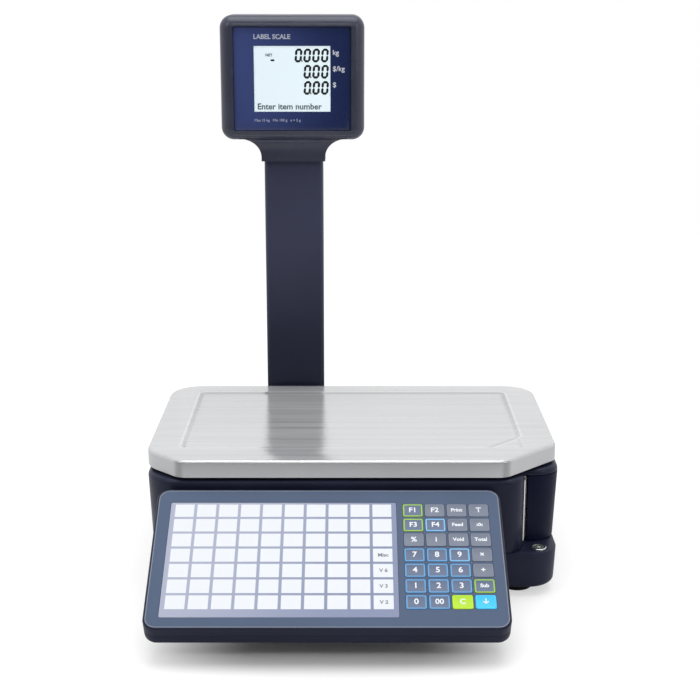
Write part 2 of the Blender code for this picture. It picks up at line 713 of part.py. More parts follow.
def make_rewind_spool(plastic):
    z0, z1 = LABEL_Z
    shape = turned_ring(*REWIND_CENTRE, [
        (0.0052, z0 - 0.0015), (0.0200, z0 - 0.0015), (0.0200, z0),
        (0.0110, z0), (0.0110, z1), (0.0052, z1),
    ], 28)
    return piece("rewind_spool", shape, plastic, joint_at=(*REWIND_CENTRE, z0))


def make_platen(rubber):
    gear = prism(gear_outline(*PLATEN_CENTRE, GEAR_TEETH, GEAR_ANGLE), *GEAR_Z)
    roller = rod(*PLATEN_CENTRE, PLATEN_RADIUS, (GEAR_Z[1] - 0.0002, 0.1035), 28)
    journal = rod(*PLATEN_CENTRE, 0.0026, (DRAWER_FLOOR + GAP, GEAR_Z[0] + 0.0002), 16)
    axis = (*PLATEN_CENTRE, GEAR_Z[0])
    return piece("platen_roller", gear, rubber, join=[roller, journal], joint_at=axis)


def make_pinion(plastic):
    x, y = motor_axis()
    phase = GEAR_ANGLE + math.pi + math.pi / PINION_TEETH
    shape = prism(gear_outline(x, y, PINION_TEETH, phase), *GEAR_Z)
    bore = rod(x, y, 0.0018, (0, 0.1), 12)
    return piece("drive_pinion", shape, plastic, cut=[bore], joint_at=(x, y, GEAR_Z[0]))


def make_motor(metal):
    x, y = motor_axis()
    half, cut = MOTOR_SIDE / 2, 0.003
    corners = platter_corners((cut,) * 4, 0, x - half, y - half, x + half, y + half)
    shaft = rod(x, y, 0.0014, (GEAR_Z[0] - 0.0004, 0.052), 12)
    return piece("drive_motor", prism(outline(corners), 0.0505, 0.0790), metal, join=[shaft])


def make_print_head(ceramic):
    x, y = PLATEN_CENTRE[0] + PLATEN_RADIUS + 0.0006, PLATEN_CENTRE[1]
    bar = block((x, x + 0.005), (y - 0.010, y + 0.010), (0.0505, 0.1015))
    arm = block((x + 0.001, HEAD_PIVOT[0] + 0.003), (y + 0.002, HEAD_PIVOT[1]), (0.0700, 0.0820))
    hub = rod(*HEAD_PIVOT, 0.0055, (0.0505, 0.1010), 20)
    bore = rod(*HEAD_PIVOT, 0.0029, (0.04, 0.12), 16)
    return piece("print_head", bar, ceramic, join=[arm, hub], cut=[bore], joint_at=(*HEAD_PIVOT, 0.0505))


# ---- the whole scale ----------------------------------------------------------------------------
def build():
    for old in list(bpy.data.objects):
        bpy.data.objects.remove(old)

    navy = finish("navy_plastic", (0.016, 0.019, 0.042), 0.38)
    navy_metal = finish("navy_paint", (0.022, 0.026, 0.045), 0.34)
    black = finish("black_plastic", (0.012, 0.012, 0.014), 0.45)
    steel = finish("brushed_stainless", (0.62, 0.61, 0.60), 0.28, 1.0)
    aluminium = finish("aluminium", (0.60, 0.61, 0.63), 0.35, 1.0)
    zinc = finish("zinc_plated_steel", (0.50, 0.51, 0.52), 0.35, 1.0)
    chrome = finish("chrome", (0.75, 0.76, 0.78), 0.12, 1.0)
    rubber = finish("rubber", (0.02, 0.02, 0.022), 0.75)
    laminate = finish("board_laminate", (0.03, 0.16, 0.07), 0.5)
    glass = finish("printed_window", (0.035, 0.05, 0.15), 0.08)
    panel = finish("display_panel", (0.78, 0.90, 0.95), 0.3)
    paper = finish("paper", (0.86, 0.87, 0.90), 0.7)
    border = finish("keypad_overlay", (0.13, 0.20, 0.29), 0.42)
    keys = {
        "grey": finish("key_grey", (0.15, 0.19, 0.26), 0.45),
        "blue": finish("key_blue", (0.09, 0.19, 0.34), 0.45),
        "green": finish("key_green", (0.40, 0.62, 0.02), 0.45),
        "cyan": finish("key_cyan", (0.03, 0.50, 0.83), 0.45),
    }

    make_base_pan(navy)
    for side, x in (("left", -FOOT_X), ("right", FOOT_X)):
        for end, y in zip(("front", "rear"), FOOT_Y):
            make_foot("foot_" + end + "_" + side, x, y, rubber)
    make_housing(navy)
    make_load_cell(aluminium)
    make_main_board(laminate)
    make_power_inlet(black)
    make_power_switch(black)
    make_spirit_level(chrome)
    make_load_carrier(aluminium)
    make_platter(steel)
    make_pole(navy_metal)
    for side, rear in (("operator", False), ("customer", True)):
        make_head_half("head_rear" if rear else "head_front", navy, rear)
        make_window(side + "_window", glass, rear)
        make_display(side + "_display", panel, rear)
    make_keypad_base(navy)
    make_keypad_frame(border)
    make_preset_sheet(paper)
    make_drawer(zinc)
    make_door(navy)
    make_tear_bar(steel)
    make_label_roll(paper)
    make_rewind_spool(black)
    make_platen(rubber)
    make_pinion(black)
    make_motor(zinc)
    make_print_head(aluminium)
    make_keys(keys)


build()
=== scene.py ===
"""Looks of a counter-top label printing scale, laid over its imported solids.

Metres, +Z up, with the operator at -Y and the printer drawer on the +X side.
"""

import json
import math

import bmesh
import bpy
from mathutils import Matrix, Vector


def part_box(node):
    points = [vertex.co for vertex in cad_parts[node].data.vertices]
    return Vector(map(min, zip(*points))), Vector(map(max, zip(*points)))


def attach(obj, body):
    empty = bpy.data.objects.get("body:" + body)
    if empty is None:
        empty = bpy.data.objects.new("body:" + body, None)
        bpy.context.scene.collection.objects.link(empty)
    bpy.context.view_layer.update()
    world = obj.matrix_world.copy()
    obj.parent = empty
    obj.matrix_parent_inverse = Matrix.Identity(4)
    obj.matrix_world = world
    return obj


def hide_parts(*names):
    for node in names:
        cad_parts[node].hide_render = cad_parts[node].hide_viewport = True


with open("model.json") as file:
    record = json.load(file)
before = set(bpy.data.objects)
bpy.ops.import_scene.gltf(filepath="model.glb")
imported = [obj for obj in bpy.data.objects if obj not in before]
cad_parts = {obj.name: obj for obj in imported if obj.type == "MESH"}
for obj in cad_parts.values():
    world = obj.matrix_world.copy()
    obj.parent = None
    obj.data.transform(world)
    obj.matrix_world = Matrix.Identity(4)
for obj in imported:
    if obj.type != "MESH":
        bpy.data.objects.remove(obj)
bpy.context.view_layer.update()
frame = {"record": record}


# ---- shader maths -------------------------------------------------------------------------------
class Value:
    """A socket that takes part in Python expressions; each operator adds its Math node."""

    def __init__(self, finish, socket):
        self.finish = finish
        self.socket = socket

    def __add__(self, other):
        return self.finish.maths("ADD", self, other)

    def __radd__(self, other):
        return self.finish.maths("ADD", other, self)

    def __sub__(self, other):
        return self.finish.maths("SUBTRACT", self, other)

    def __rsub__(self, other):
        return self.finish.maths("SUBTRACT", other, self)

    def __mul__(self, other):
        return self.finish.maths("MULTIPLY", self, other)

    def __rmul__(self, other):
        return self.finish.maths("MULTIPLY", other, self)

    def __gt__(self, other):
        return self.finish.maths("GREATER_THAN", self, other)


class Finish:
    """One material, built node by node."""

    def __init__(self, name, colour, roughness, metallic=0.0, coat=0.0, coat_roughness=0.05, specular=0.5):
        self.material = bpy.data.materials.new(name)
        self.material.use_nodes = True
        self.tree = self.material.node_tree
        self.shader = self.tree.nodes["Principled BSDF"]
        self.set("Base Color", (*colour, 1))
        self.set("Roughness", roughness)
        self.set("Metallic", metallic)
        self.set("Coat Weight", coat)
        self.set("Coat Roughness", coat_roughness)
        self.set("Specular IOR Level", specular)

    def set(self, socket, value):
        self.connect(self.shader.inputs[socket], value)

    def connect(self, socket, value):
        if isinstance(value, Value):
            self.tree.links.new(value.socket, socket)
        else:
            socket.default_value = value

    def node(self, kind, settings=None, inputs=None, output=0):
        """Adds a node: its settings first, then the values or links of its sockets."""
        made = self.tree.nodes.new(kind)
        for name, value in (settings or {}).items():
            setattr(made, name, value)
        for name, value in (inputs or {}).items():
            self.connect(made.inputs[name], value)
        return Value(self, made.outputs[output])

    def maths(self, operation, *operands):
        return self.node("ShaderNodeMath", {"operation": operation}, dict(enumerate(operands)))

    def place(self, scale=(1, 1, 1), shift=(0, 0, 0)):
        """Object coordinates, stretched and then shifted."""
        here = self.node("ShaderNodeTexCoord", output="Object")
        return self.node("ShaderNodeMapping", {"vector_type": "POINT"}, {
            "Vector": here, "Location": shift, "Scale": scale,
        })

    def axes(self, vector):
        return [self.node("ShaderNodeSeparateXYZ", inputs={"Vector": vector}, output=k) for k in range(3)]

    def length(self, vector):
        return self.node("ShaderNodeVectorMath", {"operation": "LENGTH"}, {0: vector}, output="Value")

    def noise(self, scale, detail=2.0, roughness=0.5, vector=None):
        return self.node("ShaderNodeTexNoise", inputs={
            "Vector": vector or self.place(), "Scale": scale, "Detail": detail, "Roughness": roughness,
        })

    def spread(self, value, low, high, to_low=0.0, to_high=1.0):
        """Eases from one value to another while its input runs from low to high."""
        return self.node("ShaderNodeMapRange", {"interpolation_type": "SMOOTHSTEP"}, {
            "Value": value, "From Min": low, "From Max": high, "To Min": to_low, "To Max": to_high,
        })

    def mix(self, amount, first, second):
        first, second = [(*c, 1) if isinstance(c, tuple) and len(c) == 3 else c for c in (first, second)]
        return self.node("ShaderNodeMix", {"data_type": "RGBA"}, {0: amount, 6: first, 7: second}, output=2)

    def bump(self, height, depth, strength=1.0, below=None):
        inputs = {"Height": height, "Distance": depth, "Strength": strength}
        if below is not None:
            inputs["Normal"] = below
        return self.node("ShaderNodeBump", inputs=inputs)


def moulded(name, colour, roughness=0.42, specular=0.3):
    """Moulded plastic: a fine spark-eroded grain and slightly uneven gloss."""
    made = Finish(name, colour, roughness, specular=specular)
    fine = made.noise(2600, 2, 0.6)
    broad = made.noise(18, 3, 0.5)
    lighter = tuple(min(1, c * 1.25 + 0.002) for c in colour)
    made.set("Base Color", made.mix(made.spread(broad, 0.35, 0.7, 0, 0.6), colour, lighter))
    made.set("Roughness",
             made.spread(broad, 0.3, 0.7, roughness - 0.05, roughness + 0.06) + (fine - 0.5) * 0.08)
    made.set("Normal", made.bump(fine, 0.00003, 0.5))
    return made.material


def powder_coat(name, colour, roughness, painted_low_shade=None):
    """Powder-coated metal, with a shallow orange-peel surface; a height and a darker colour may be given for
    painted shade below that height.
    """
    made = Finish(name, colour, roughness, specular=0.35)
    peel = made.noise(420, 2, 0.5)
    broad = made.noise(9, 2, 0.5)
    shade = made.mix(made.spread(broad, 0.3, 0.7), colour, tuple(c * 1.2 for c in colour))
    # painted shade: the tube darkens towards its foot, below the given height
    if painted_low_shade:
        _, _, z = made.axes(made.place())
        shade = made.mix(made.spread(z, painted_low_shade[0], painted_low_shade[0] + 0.14), painted_low_shade[1], shade)
    made.set("Base Color", shade)
    made.set("Roughness", made.spread(peel, 0.3, 0.7, roughness - 0.04, roughness + 0.05))
    made.set("Normal", made.bump(peel, 0.00006, 0.35))
    return made.material


def brushed(name, colour, roughness, along):
    """Brushed sheet metal: fine grooves along one direction, which blur reflections across it."""
    depth = 0.00006
    made = Finish(name, colour, roughness, metallic=1.0)
    coarse = made.noise(1, 3, 0.6, made.place(scale=tuple(5 if a else 620 for a in along)))
    fine = made.noise(1, 3, 0.6, made.place(scale=tuple(14 if a else 2600 for a in along)))
    streaks = made.noise(1, 2, 0.5, made.place(scale=tuple(2.2 if a else 70 for a in along)))
    handling = made.noise(9, 4, 0.6)
    tint = made.mix(made.spread(streaks, 0.3, 0.7), tuple(c * 0.94 for c in colour), colour)
    made.set("Base Color",
             made.mix(made.spread(coarse, 0.3, 0.7, 0, 0.5), tint, tuple(min(1, c * 1.06) for c in colour)))
    grade = made.spread(coarse, 0.3, 0.7, roughness - 0.03, roughness + 0.05)
    made.set("Roughness", grade + made.spread(handling, 0.45, 0.75, 0, 0.05))
    made.set("Normal", made.bump(fine, depth * 0.35, 1.0, below=made.bump(coarse, depth, 1.0)))
    return made.material


def beyond_dish(made, x, y):
    """How far a point lies outside the platter's sunk dish; below zero inside it."""
    middle, half, corner = (DISH[0] + DISH[1]) / 2, (DISH[1] - DISH[0]) / 2, 0.006
    sides = []
    for value, centre, reach in ((x, middle.x, half.x), (y, middle.y, half.y)):
        sides.append(made.maths("MAXIMUM", made.maths("ABSOLUTE", value - centre) - (reach - corner), 0.0))
    outside = made.maths("SQRT", sides[0] * sides[0] + sides[1] * sides[1]) - corner
    cut_off = (x - y - (middle.x - middle.y + half.x + half.y - DISH_CHAMFER)) * math.sqrt(0.5)
    return made.maths("MAXIMUM", outside, cut_off)


def pressed_steel(name, colour, bends):
    """Brushed and pressed stainless sheet: grooves along X on top, satin on the skirt.

    It carries painted shade on the dish's sloping sides and at the bends of the front skirt, and a painted
    highlight along the dish's outer edge.
    """
    made = Finish(name, colour, 0.12, metallic=0.5)
    _, _, up = made.axes(made.node("ShaderNodeNewGeometry", output="Normal"))
    flat = made.spread(up, 0.35, 0.85)
    grooves = made.noise(1, 3, 0.6, made.place(scale=(6, 800, 800)))
    fine = made.noise(1, 3, 0.6, made.place(scale=(18, 2800, 2800)))
    bands = made.noise(1, 3, 0.6, made.place(scale=(3, 150, 150)))
    x, y, _ = made.axes(made.place())
    outside = beyond_dish(made, x, y)
    # painted shade on the dish's sloping sides, standing in for the darker surroundings reflected there
    painted_slope_shade = made.spread(outside, -0.0046, -0.0030) * made.spread(outside, -0.0008, 0.0004, 1, 0)
    # painted highlight along the dish's outer edge
    painted_crest_highlight = made.spread(outside, -0.0004, 0.0006) * made.spread(outside, 0.0012, 0.0024, 1, 0)
    cloud = made.noise(7, 3, 0.5)
    tint = made.mix(made.spread(cloud, 0.3, 0.7), tuple(c * 0.95 for c in colour), colour)
    tint = made.mix(made.spread(grooves, 0.3, 0.7, 0, 0.5) * flat, tint, tuple(c * 0.92 for c in colour))
    tint = made.mix(flat * painted_slope_shade * 0.42, tint, tuple(c * 0.55 for c in colour))
    tint = made.mix(flat * painted_crest_highlight * 0.30, tint, (0.95, 0.95, 0.95))
    # painted shade at each bend of the front skirt, standing in for a dark reflection there
    for bend in bends:
        off = made.maths("ABSOLUTE", x - bend)
        painted_bend_shade = made.spread(off, 0.0010, 0.0055, 0.65, 0) * (1 - flat) * made.spread(y, -0.02, 0.0, 1, 0)
        tint = made.mix(painted_bend_shade, tint, tuple(c * 0.45 for c in colour))
    made.set("Base Color", tint)
    made.set("Metallic",
             flat * made.spread(bands, 0.3, 0.7, -0.10, 0.08) + flat * (grooves - 0.5) * 0.12 + 0.5)
    made.set("Roughness", (1 - flat) * 0.16 + flat * (grooves - 0.5) * 0.12 + 0.12)
    coarse_bump = made.bump(grooves * flat, 0.00008, 1.0)
    made.set("Normal", made.bump(fine * flat, 0.00003, 1.0, below=coarse_bump))
    return made.material


def machined(name, colour, roughness=0.35, metallic=1.0):
    """Plain machined or plated metal with faint mottling."""
    made = Finish(name, colour, roughness, metallic=metallic)
    mottle = made.noise(160, 4, 0.6)
    made.set("Base Color", made.mix(made.spread(mottle, 0.3, 0.7), tuple(c * 0.88 for c in colour), colour))
    made.set("Roughness", made.spread(mottle, 0.3, 0.7, roughness - 0.06, roughness + 0.08))
    made.set("Normal", made.bump(mottle, 0.00001, 0.3))
    return made.material


def printed_film(name, colour, roughness, lighter=None):
    """Printed and hard-coated polyester film with a very fine grain."""
    made = Finish(name, colour, roughness, coat_roughness=0.08, specular=0.35)
    fine = made.noise(3400, 2, 0.5)
    broad = made.noise(11, 2, 0.5)
    lighter = lighter or tuple(min(1, c * 1.12) for c in colour)
    made.set("Base Color", made.mix(made.spread(broad, 0.3, 0.7), colour, lighter))
    made.set("Roughness", made.spread(fine, 0.3, 0.7, roughness - 0.04, roughness + 0.05))
    made.set("Normal", made.bump(fine, 0.000015, 0.35))
    return made.material


def printed_window_with_painted_light(name, left, right):
    """The display's polycarbonate window: gloss navy print, with painted light that falls off from one side to
    the other.
    """
    made = Finish(name, left, 0.14, coat=0.35, coat_roughness=0.08, specular=0.35)
    x, _, _ = made.axes(made.place(shift=(-POLE_X, 0, 0)))
    fine = made.noise(3400, 2, 0.5)
    # painted light: lighter at one side, falling to darker at the other
    shade = made.mix(made.spread(x, -0.060, 0.060), left, right)
    made.set("Base Color",
             made.mix(made.spread(fine, 0.3, 0.7, 0, 0.25), shade, tuple(c * 1.3 for c in left)))
    made.set("Roughness", made.spread(fine, 0.3, 0.7, 0.12, 0.18))
    made.set("Normal", made.bump(fine, 0.00001, 0.3))
    return made.material


def rubbery(name, colour):
    """Moulded rubber with a matt grain and a little dust."""
    made = Finish(name, colour, 0.72)
    fine = made.noise(1500, 3, 0.6)
    dust = made.noise(60, 4, 0.6)
    made.set("Base Color", made.mix(made.spread(dust, 0.5, 0.8), colour, tuple(c + 0.02 for c in colour)))
    made.set("Roughness", made.spread(fine, 0.3, 0.7, 0.66, 0.82))
    made.set("Normal", made.bump(fine, 0.00005, 0.5))
    return made.material


def papery(name, colour, fibres=900, far_colour=None):
    """Paper or board, whose colour may change from the card's upper left to its lower right."""
    made = Finish(name, colour, 0.72)
    fibre = made.noise(fibres, 4, 0.65)
    shade = colour
    if far_colour:
        x, y, _ = made.axes(made.place())
        shade = made.mix(made.spread(x - y * 0.5, -0.08, 0.11), colour, far_colour)
    made.set("Base Color",
             made.mix(made.spread(fibre, 0.3, 0.75, 0, 0.3), shade, tuple(c * 0.9 for c in colour)))
    made.set("Normal", made.bump(fibre, 0.00002, 0.4))
    return made.material


def wound_paper(name, colour, joint):
    """The edge of a wound web: fine rings about the roll's axis."""
    made = Finish(name, colour, 0.75)
    x, y, _ = joint_place(joint)
    flat = made.place(scale=(1, 1, 0), shift=(-x, -y, 0))
    radius = made.length(flat)
    rings = made.noise(1, 2, 0.6, made.node("ShaderNodeCombineXYZ", inputs={"X": radius * 5200}))
    bands = made.noise(1, 2, 0.6, made.node("ShaderNodeCombineXYZ", inputs={"X": radius * 420}))
    tint = made.mix(made.spread(rings, 0.35, 0.65), tuple(c * 0.72 for c in colour), colour)
    made.set("Base Color",
             made.mix(made.spread(bands, 0.4, 0.7, 0, 0.3), tint, tuple(c * 0.8 for c in colour)))
    made.set("Normal", made.bump(rings, 0.00008, 0.6))
    return made.material


def circuit_board(name, mask, track):
    """Solder mask over copper tracks that run in two directions."""
    made = Finish(name, mask, 0.32, coat=0.3, specular=0.5)
    x, y, _ = made.axes(made.place(scale=(420, 420, 0)))
    blocks = made.noise(1, 1, 0.5, made.place(scale=(60, 60, 0)))
    across, upward = made.maths("SINE", x * 2.4), made.maths("SINE", y * 2.4)
    chosen = made.node("ShaderNodeMix", {"data_type": "FLOAT"}, {0: blocks > 0.5, 2: across, 3: upward})
    lines = made.spread(chosen, 0.35, 0.55)
    made.set("Base Color", made.mix(lines, mask, track))
    made.set("Roughness", made.spread(made.noise(700, 2), 0.3, 0.7, 0.26, 0.38))
    made.set("Normal", made.bump(lines, 0.00003, 0.6))
    return made.material


def lit_panel(name, colour, strength):
    """A backlit display: slightly brighter towards one side, with a fine polariser texture."""
    made = Finish(name, colour, 0.30, coat=0.3, coat_roughness=0.1)
    x, _, _ = made.axes(made.place(shift=(-POLE_X, 0, -WINDOW_Z)))
    side = made.spread(x, -0.037, 0.037)
    fine = made.noise(2200, 2)
    shade = made.mix(side, tuple(c * 0.97 for c in colour), colour)
    made.set("Base Color",
             made.mix(made.spread(fine, 0.3, 0.7, 0, 0.2), shade, tuple(c * 0.94 for c in colour)))
    made.set("Emission Color", shade)
    made.set("Emission Strength", strength)
    return made.material


# ---- places taken from the solids ---------------------------------------------------------------
def extent(node):
    low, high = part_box(node)
    return Vector(low), Vector(high)


def joint_place(name):
    """A point on a hinge's axis."""
    return next(j["pos_m"] for j in frame["record"]["behaviour"]["joints"] if j["name"] == name)


POLE_LOW, POLE_HIGH = extent("pole")
POLE_X = (POLE_LOW.x + POLE_HIGH.x) / 2
POLE_WALL = 0.002
WINDOW_LOW, WINDOW_HIGH = extent("operator_window")
WINDOW_Z = (WINDOW_LOW.z + WINDOW_HIGH.z) / 2
HEAD_Y = extent("head_front")[1].y + 0.00015

SEAM = 0.042
HOUSING_FRONT = -0.0780
PLATTER_LOW, PLATTER_HIGH = extent("platter")
CORNER_CUTS = (0.032, 0.050)
DISH = (
    Vector((PLATTER_LOW.x + 0.030, PLATTER_LOW.y + 0.038)),
    Vector((PLATTER_HIGH.x - 0.030, PLATTER_HIGH.y - 0.025)),
)
DISH_CHAMFER = 0.034

TILT = math.radians(29)
KEYPAD_CENTRE = Vector((-0.0218, -0.1475, 0.0698))
KEYPAD_HALF = (0.1492, 0.0742)
KEYPAD_CORNER = 0.011
KEYPAD_WALL = 0.006
KEYPAD_LIP = 0.0018
KEY_SIZE = (0.0170, 0.0138)
KEY_PITCH = (0.0189, 0.016185)
KEY_FIRST = (0.0640, 0.0565)
CARD = (-0.1364, -0.0625, 0.0583, 0.0586)
FIRST_ZONE = (-0.1324, 0.0565)
FIT = 0.0003


# ---- modelling ----------------------------------------------------------------------------------
def lay_down():
    """Leaves nothing selected."""
    bpy.ops.object.select_all(action="DESELECT")


def hold(piece):
    lay_down()
    piece.select_set(True)
    bpy.context.view_layer.objects.active = piece


def settle(piece):
    hold(piece)
    bpy.ops.object.transform_apply(location=True, rotation=True, scale=True)
    return piece


def block(name, low, high):
    """A box between two corners, to be shaped."""
    lay_down()
    bpy.ops.mesh.primitive_cube_add(size=1, location=[(a + b) / 2 for a, b in zip(low, high)])
    piece = bpy.context.object
    piece.name = name
    piece.scale = [b - a for a, b in zip(low, high)]
    return settle(piece)


def rod(name, centre, radius, length, axis="Z", sides=48):
    """A round bar that starts at centre and runs along an axis."""
    lay_down()
    bpy.ops.mesh.primitive_cylinder_add(vertices=sides, radius=radius, depth=length)
    piece = bpy.context.object
    piece.name = name
    turns = {"Z": Matrix(), "X": Matrix.Rotation(math.pi / 2, 4, "Y"),
             "Y": Matrix.Rotation(-math.pi / 2, 4, "X")}
    piece.matrix_world = Matrix.Translation(centre) @ turns[axis] @ Matrix.Translation((0, 0, length / 2))
    return settle(piece)


def pick(kind, test):
    """In edit mode, selects the vertices, edges or faces whose points pass the test."""
    bpy.ops.mesh.select_mode(type=kind)
    bpy.ops.mesh.select_all(action="DESELECT")
    mesh = bmesh.from_edit_mesh(bpy.context.edit_object.data)
    mesh.normal_update()
    for item in {"VERT": mesh.verts, "EDGE": mesh.edges, "FACE": mesh.faces}[kind]:
        if kind == "FACE":
            item.select_set(bool(test(item.calc_center_median(), item.normal)))
        elif kind == "EDGE":
            item.select_set(bool(test(*(v.co for v in item.verts))))
        else:
            item.select_set(bool(test(item.co)))
    mesh.select_flush_mode()
    bmesh.update_edit_mesh(bpy.context.edit_object.data)


def opened(piece):
    hold(piece)
    bpy.ops.object.mode_set(mode="EDIT")


def closed():
    bpy.ops.object.mode_set(mode="OBJECT")


def round_edges(piece, test, width, segments=5):
    """Bevels the edges between two points that pass the test."""
    opened(piece)
    pick("EDGE", test)
    bpy.ops.mesh.bevel(offset=width, segments=segments, profile=0.5, affect="EDGES", clamp_overlap=True)
    closed()
    return piece


def along(axis, *, near=None, reach=0.002, shortest=0.004):
    """A test for edges that run along an axis, if asked only those near a point in the other two."""
    others = [i for i in range(3) if i != axis]

    def test(a, b):
        if any(abs(a[i] - b[i]) > 0.0042 for i in others) or abs(a[axis] - b[axis]) < shortest:
            return False
        middle = (a + b) / 2
        return near is None or all(abs(middle[i] - near[k]) < reach for k, i in enumerate(others))

    return test


def level(axis, value, reach=0.00005):
    """A test for edges that lie wholly at one height on an axis."""
    return lambda a, b: abs(a[axis] - value) < reach and abs(b[axis] - value) < reach


def taper(piece, axis, value, scale, about):
    """Scales the end of a piece that lies at one height on an axis."""
    opened(piece)
    pick("VERT", lambda p: abs(p[axis] - value) < 0.0001)
    bpy.ops.transform.resize(value=scale, center_override=about)
    closed()
    return piece


def merge(piece, *others, operation="UNION"):
    """Joins, or cuts, other pieces with a Boolean and leaves one."""
    for other in others:
        hold(piece)
        step = piece.modifiers.new("merge", "BOOLEAN")
        step.operation = operation
        step.solver = "EXACT"
        step.object = other
        bpy.ops.object.modifier_apply(modifier="merge")
        bpy.data.objects.remove(other)
    return piece


def cut(piece, *others):
    return merge(piece, *others, operation="DIFFERENCE")


def gathered(name, pieces):
    """Several loose pieces as one object, keeping their materials."""
    lay_down()
    for piece in pieces:
        piece.select_set(True)
    bpy.context.view_layer.objects.active = pieces[0]
    bpy.ops.object.join()
    piece = bpy.context.object
    piece.name = name
    return piece


def copied(piece, name, offset):
    made = bpy.data.objects.new(name, piece.data.copy())
    bpy.context.scene.collection.objects.link(made)
    made.location = offset
    return settle(made)


def painted(piece, *materials):
    piece.data.materials.clear()
    for material in materials:
        piece.data.materials.append(material)
    return piece


def paint_faces(piece, slot_number, test):
    for polygon in piece.data.polygons:
        if test(polygon.center, polygon.normal):
            polygon.material_index = slot_number
    return piece


def turn_whole(piece, matrix):
    piece.matrix_world = matrix @ piece.matrix_world
    return settle(piece)


def spun(piece, x, y, angle):
    """Turns a piece about the vertical through the origin, then sets it down at a place."""
    return turn_whole(piece, Matrix.Translation((x, y, 0)) @ Matrix.Rotation(angle, 4, "Z"))


def onto_keypad(piece):
    return turn_whole(piece, Matrix.Translation(KEYPAD_CENTRE) @ Matrix.Rotation(TILT, 4, "X"))


def lettering(name, words, height, place, weight, material, align="CENTER", facing="up"):
    """Raised print, whose strokes weight makes bolder; facing is up or front."""
    lay_down()
    bpy.ops.object.text_add(location=(0, 0, 0))
    piece = bpy.context.object
    piece.name = name
    piece.data.body = words
    piece.data.size = height
    piece.data.align_x = align
    piece.data.align_y = "CENTER"
    piece.data.extrude = 0.00006
    piece.data.offset = weight
    piece.data.resolution_u = 3
    turns = {"up": Matrix(), "front": Matrix.Rotation(math.pi / 2, 4, "X")}
    piece.matrix_world = Matrix.Translation(place) @ turns[facing]
    bpy.ops.object.convert(target="MESH")
    return settle(painted(bpy.context.object, material))


def mount(piece, body, node, smooth=32):
    """Finishes a piece: soft shading, the body that it rides on and the solid that it stands for."""
    hold(piece)
    bpy.ops.object.shade_smooth_by_angle(angle=math.radians(smooth), keep_sharp_edges=False)
    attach(piece, body)
    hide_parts(node)


# ---- finishes -----------------------------------------------------------------------------------
NAVY = moulded("navy_plastic_grained", (0.012, 0.015, 0.036), 0.36, specular=0.2)
HEAD_NAVY = moulded("head_plastic_grained", (0.045, 0.049, 0.078), 0.28, specular=0.4)
# the pole's paint, with painted shade towards its foot
POLE_PAINT_AND_SHADE = powder_coat("pole_powder_coat", (0.042, 0.047, 0.086), 0.36, painted_low_shade=(0.15, (0.012, 0.014, 0.036)))
# the navy plastic made darker for the door: painted shade
SHADED_DOOR_NAVY = moulded("door_plastic_grained", (0.006, 0.008, 0.026), 0.40, specular=0.12)
# its finish carries painted shade and a painted highlight round the dish, and painted shade at the skirt's
# bends
STEEL = pressed_steel("platter_pressed_steel", (0.60, 0.605, 0.615),
                      (PLATTER_LOW.x + CORNER_CUTS[0], PLATTER_HIGH.x - CORNER_CUTS[1]))
TEAR_STEEL = brushed("tear_bar_steel", (0.88, 0.88, 0.87), 0.25, along=(0, 0, 1))
RUBBER = rubbery("foot_rubber", (0.012, 0.012, 0.014))
CHROME = machined("level_chrome", (0.80, 0.81, 0.84), 0.10)
FLUID = Finish("level_fluid", (0.10, 0.13, 0.10), 0.06, coat=1.0).material
BUBBLE = Finish("level_bubble", (0.55, 0.62, 0.55), 0.05, coat=1.0).material
OVERLAY = printed_film("keypad_film_slate", (0.036, 0.067, 0.138), 0.46, (0.043, 0.078, 0.156))
# a lighter band for the film's edge: painted highlight
FILM_EDGE_HIGHLIGHT = printed_film("keypad_film_edge", (0.17, 0.20, 0.25), 0.34)
CARD_EDGE = papery("preset_card_lilac", (0.385, 0.41, 0.53), 1400, far_colour=(0.21, 0.25, 0.385))
CARD_WHITE = papery("preset_card_white", (0.76, 0.79, 0.83), 1400)
# navy print with painted light, lighter at the left and darker at the right
WINDOW_PRINT_AND_LIGHT = printed_window_with_painted_light("display_window_navy", (0.052, 0.076, 0.235), (0.004, 0.014, 0.072))
LCD = lit_panel("display_backlight", (0.80, 0.92, 0.97), 0.345)
LCD_INK = Finish("display_segments", (0.012, 0.018, 0.022), 0.35).material
LCD_FAINT = Finish("display_dot_matrix", (0.13, 0.165, 0.19), 0.35).material
PRINT_WHITE = Finish("printed_white", (0.78, 0.81, 0.87), 0.45).material
PRINT_PALE = Finish("printed_pale_grey", (0.50, 0.54, 0.66), 0.45).material
PRINT_DIM = Finish("printed_pale_blue", (0.36, 0.40, 0.55), 0.45).material
BLACK = moulded("black_plastic_grained", (0.011, 0.011, 0.013), 0.46)
ALUMINIUM = machined("aluminium_machined", (0.72, 0.73, 0.75), 0.32)
ZINC = machined("zinc_plated_sheet", (0.60, 0.61, 0.60), 0.42, 0.75)
SCREW_STEEL = machined("bright_steel", (0.62, 0.63, 0.65), 0.28)
TINNED = machined("tinned_contact", (0.78, 0.78, 0.76), 0.22)
BRASS = machined("pinion_brass", (0.72, 0.53, 0.24), 0.30)
LAMINATED = brushed("motor_laminations", (0.20, 0.205, 0.22), 0.42, along=(1, 1, 0))
SEALANT = moulded("gauge_sealant_white", (0.72, 0.72, 0.68), 0.50)
NYLON = moulded("nylon_natural", (0.74, 0.72, 0.66), 0.42)
NYLON_GREY = moulded("spool_grey_nylon", (0.26, 0.27, 0.29), 0.45)
CERAMIC = moulded("head_ceramic", (0.60, 0.58, 0.50), 0.30)
LEVER_GREEN = moulded("release_tab_green", (0.03, 0.28, 0.10), 0.42)
PLATEN_RUBBER = rubbery("platen_rubber_black", (0.030, 0.030, 0.032))
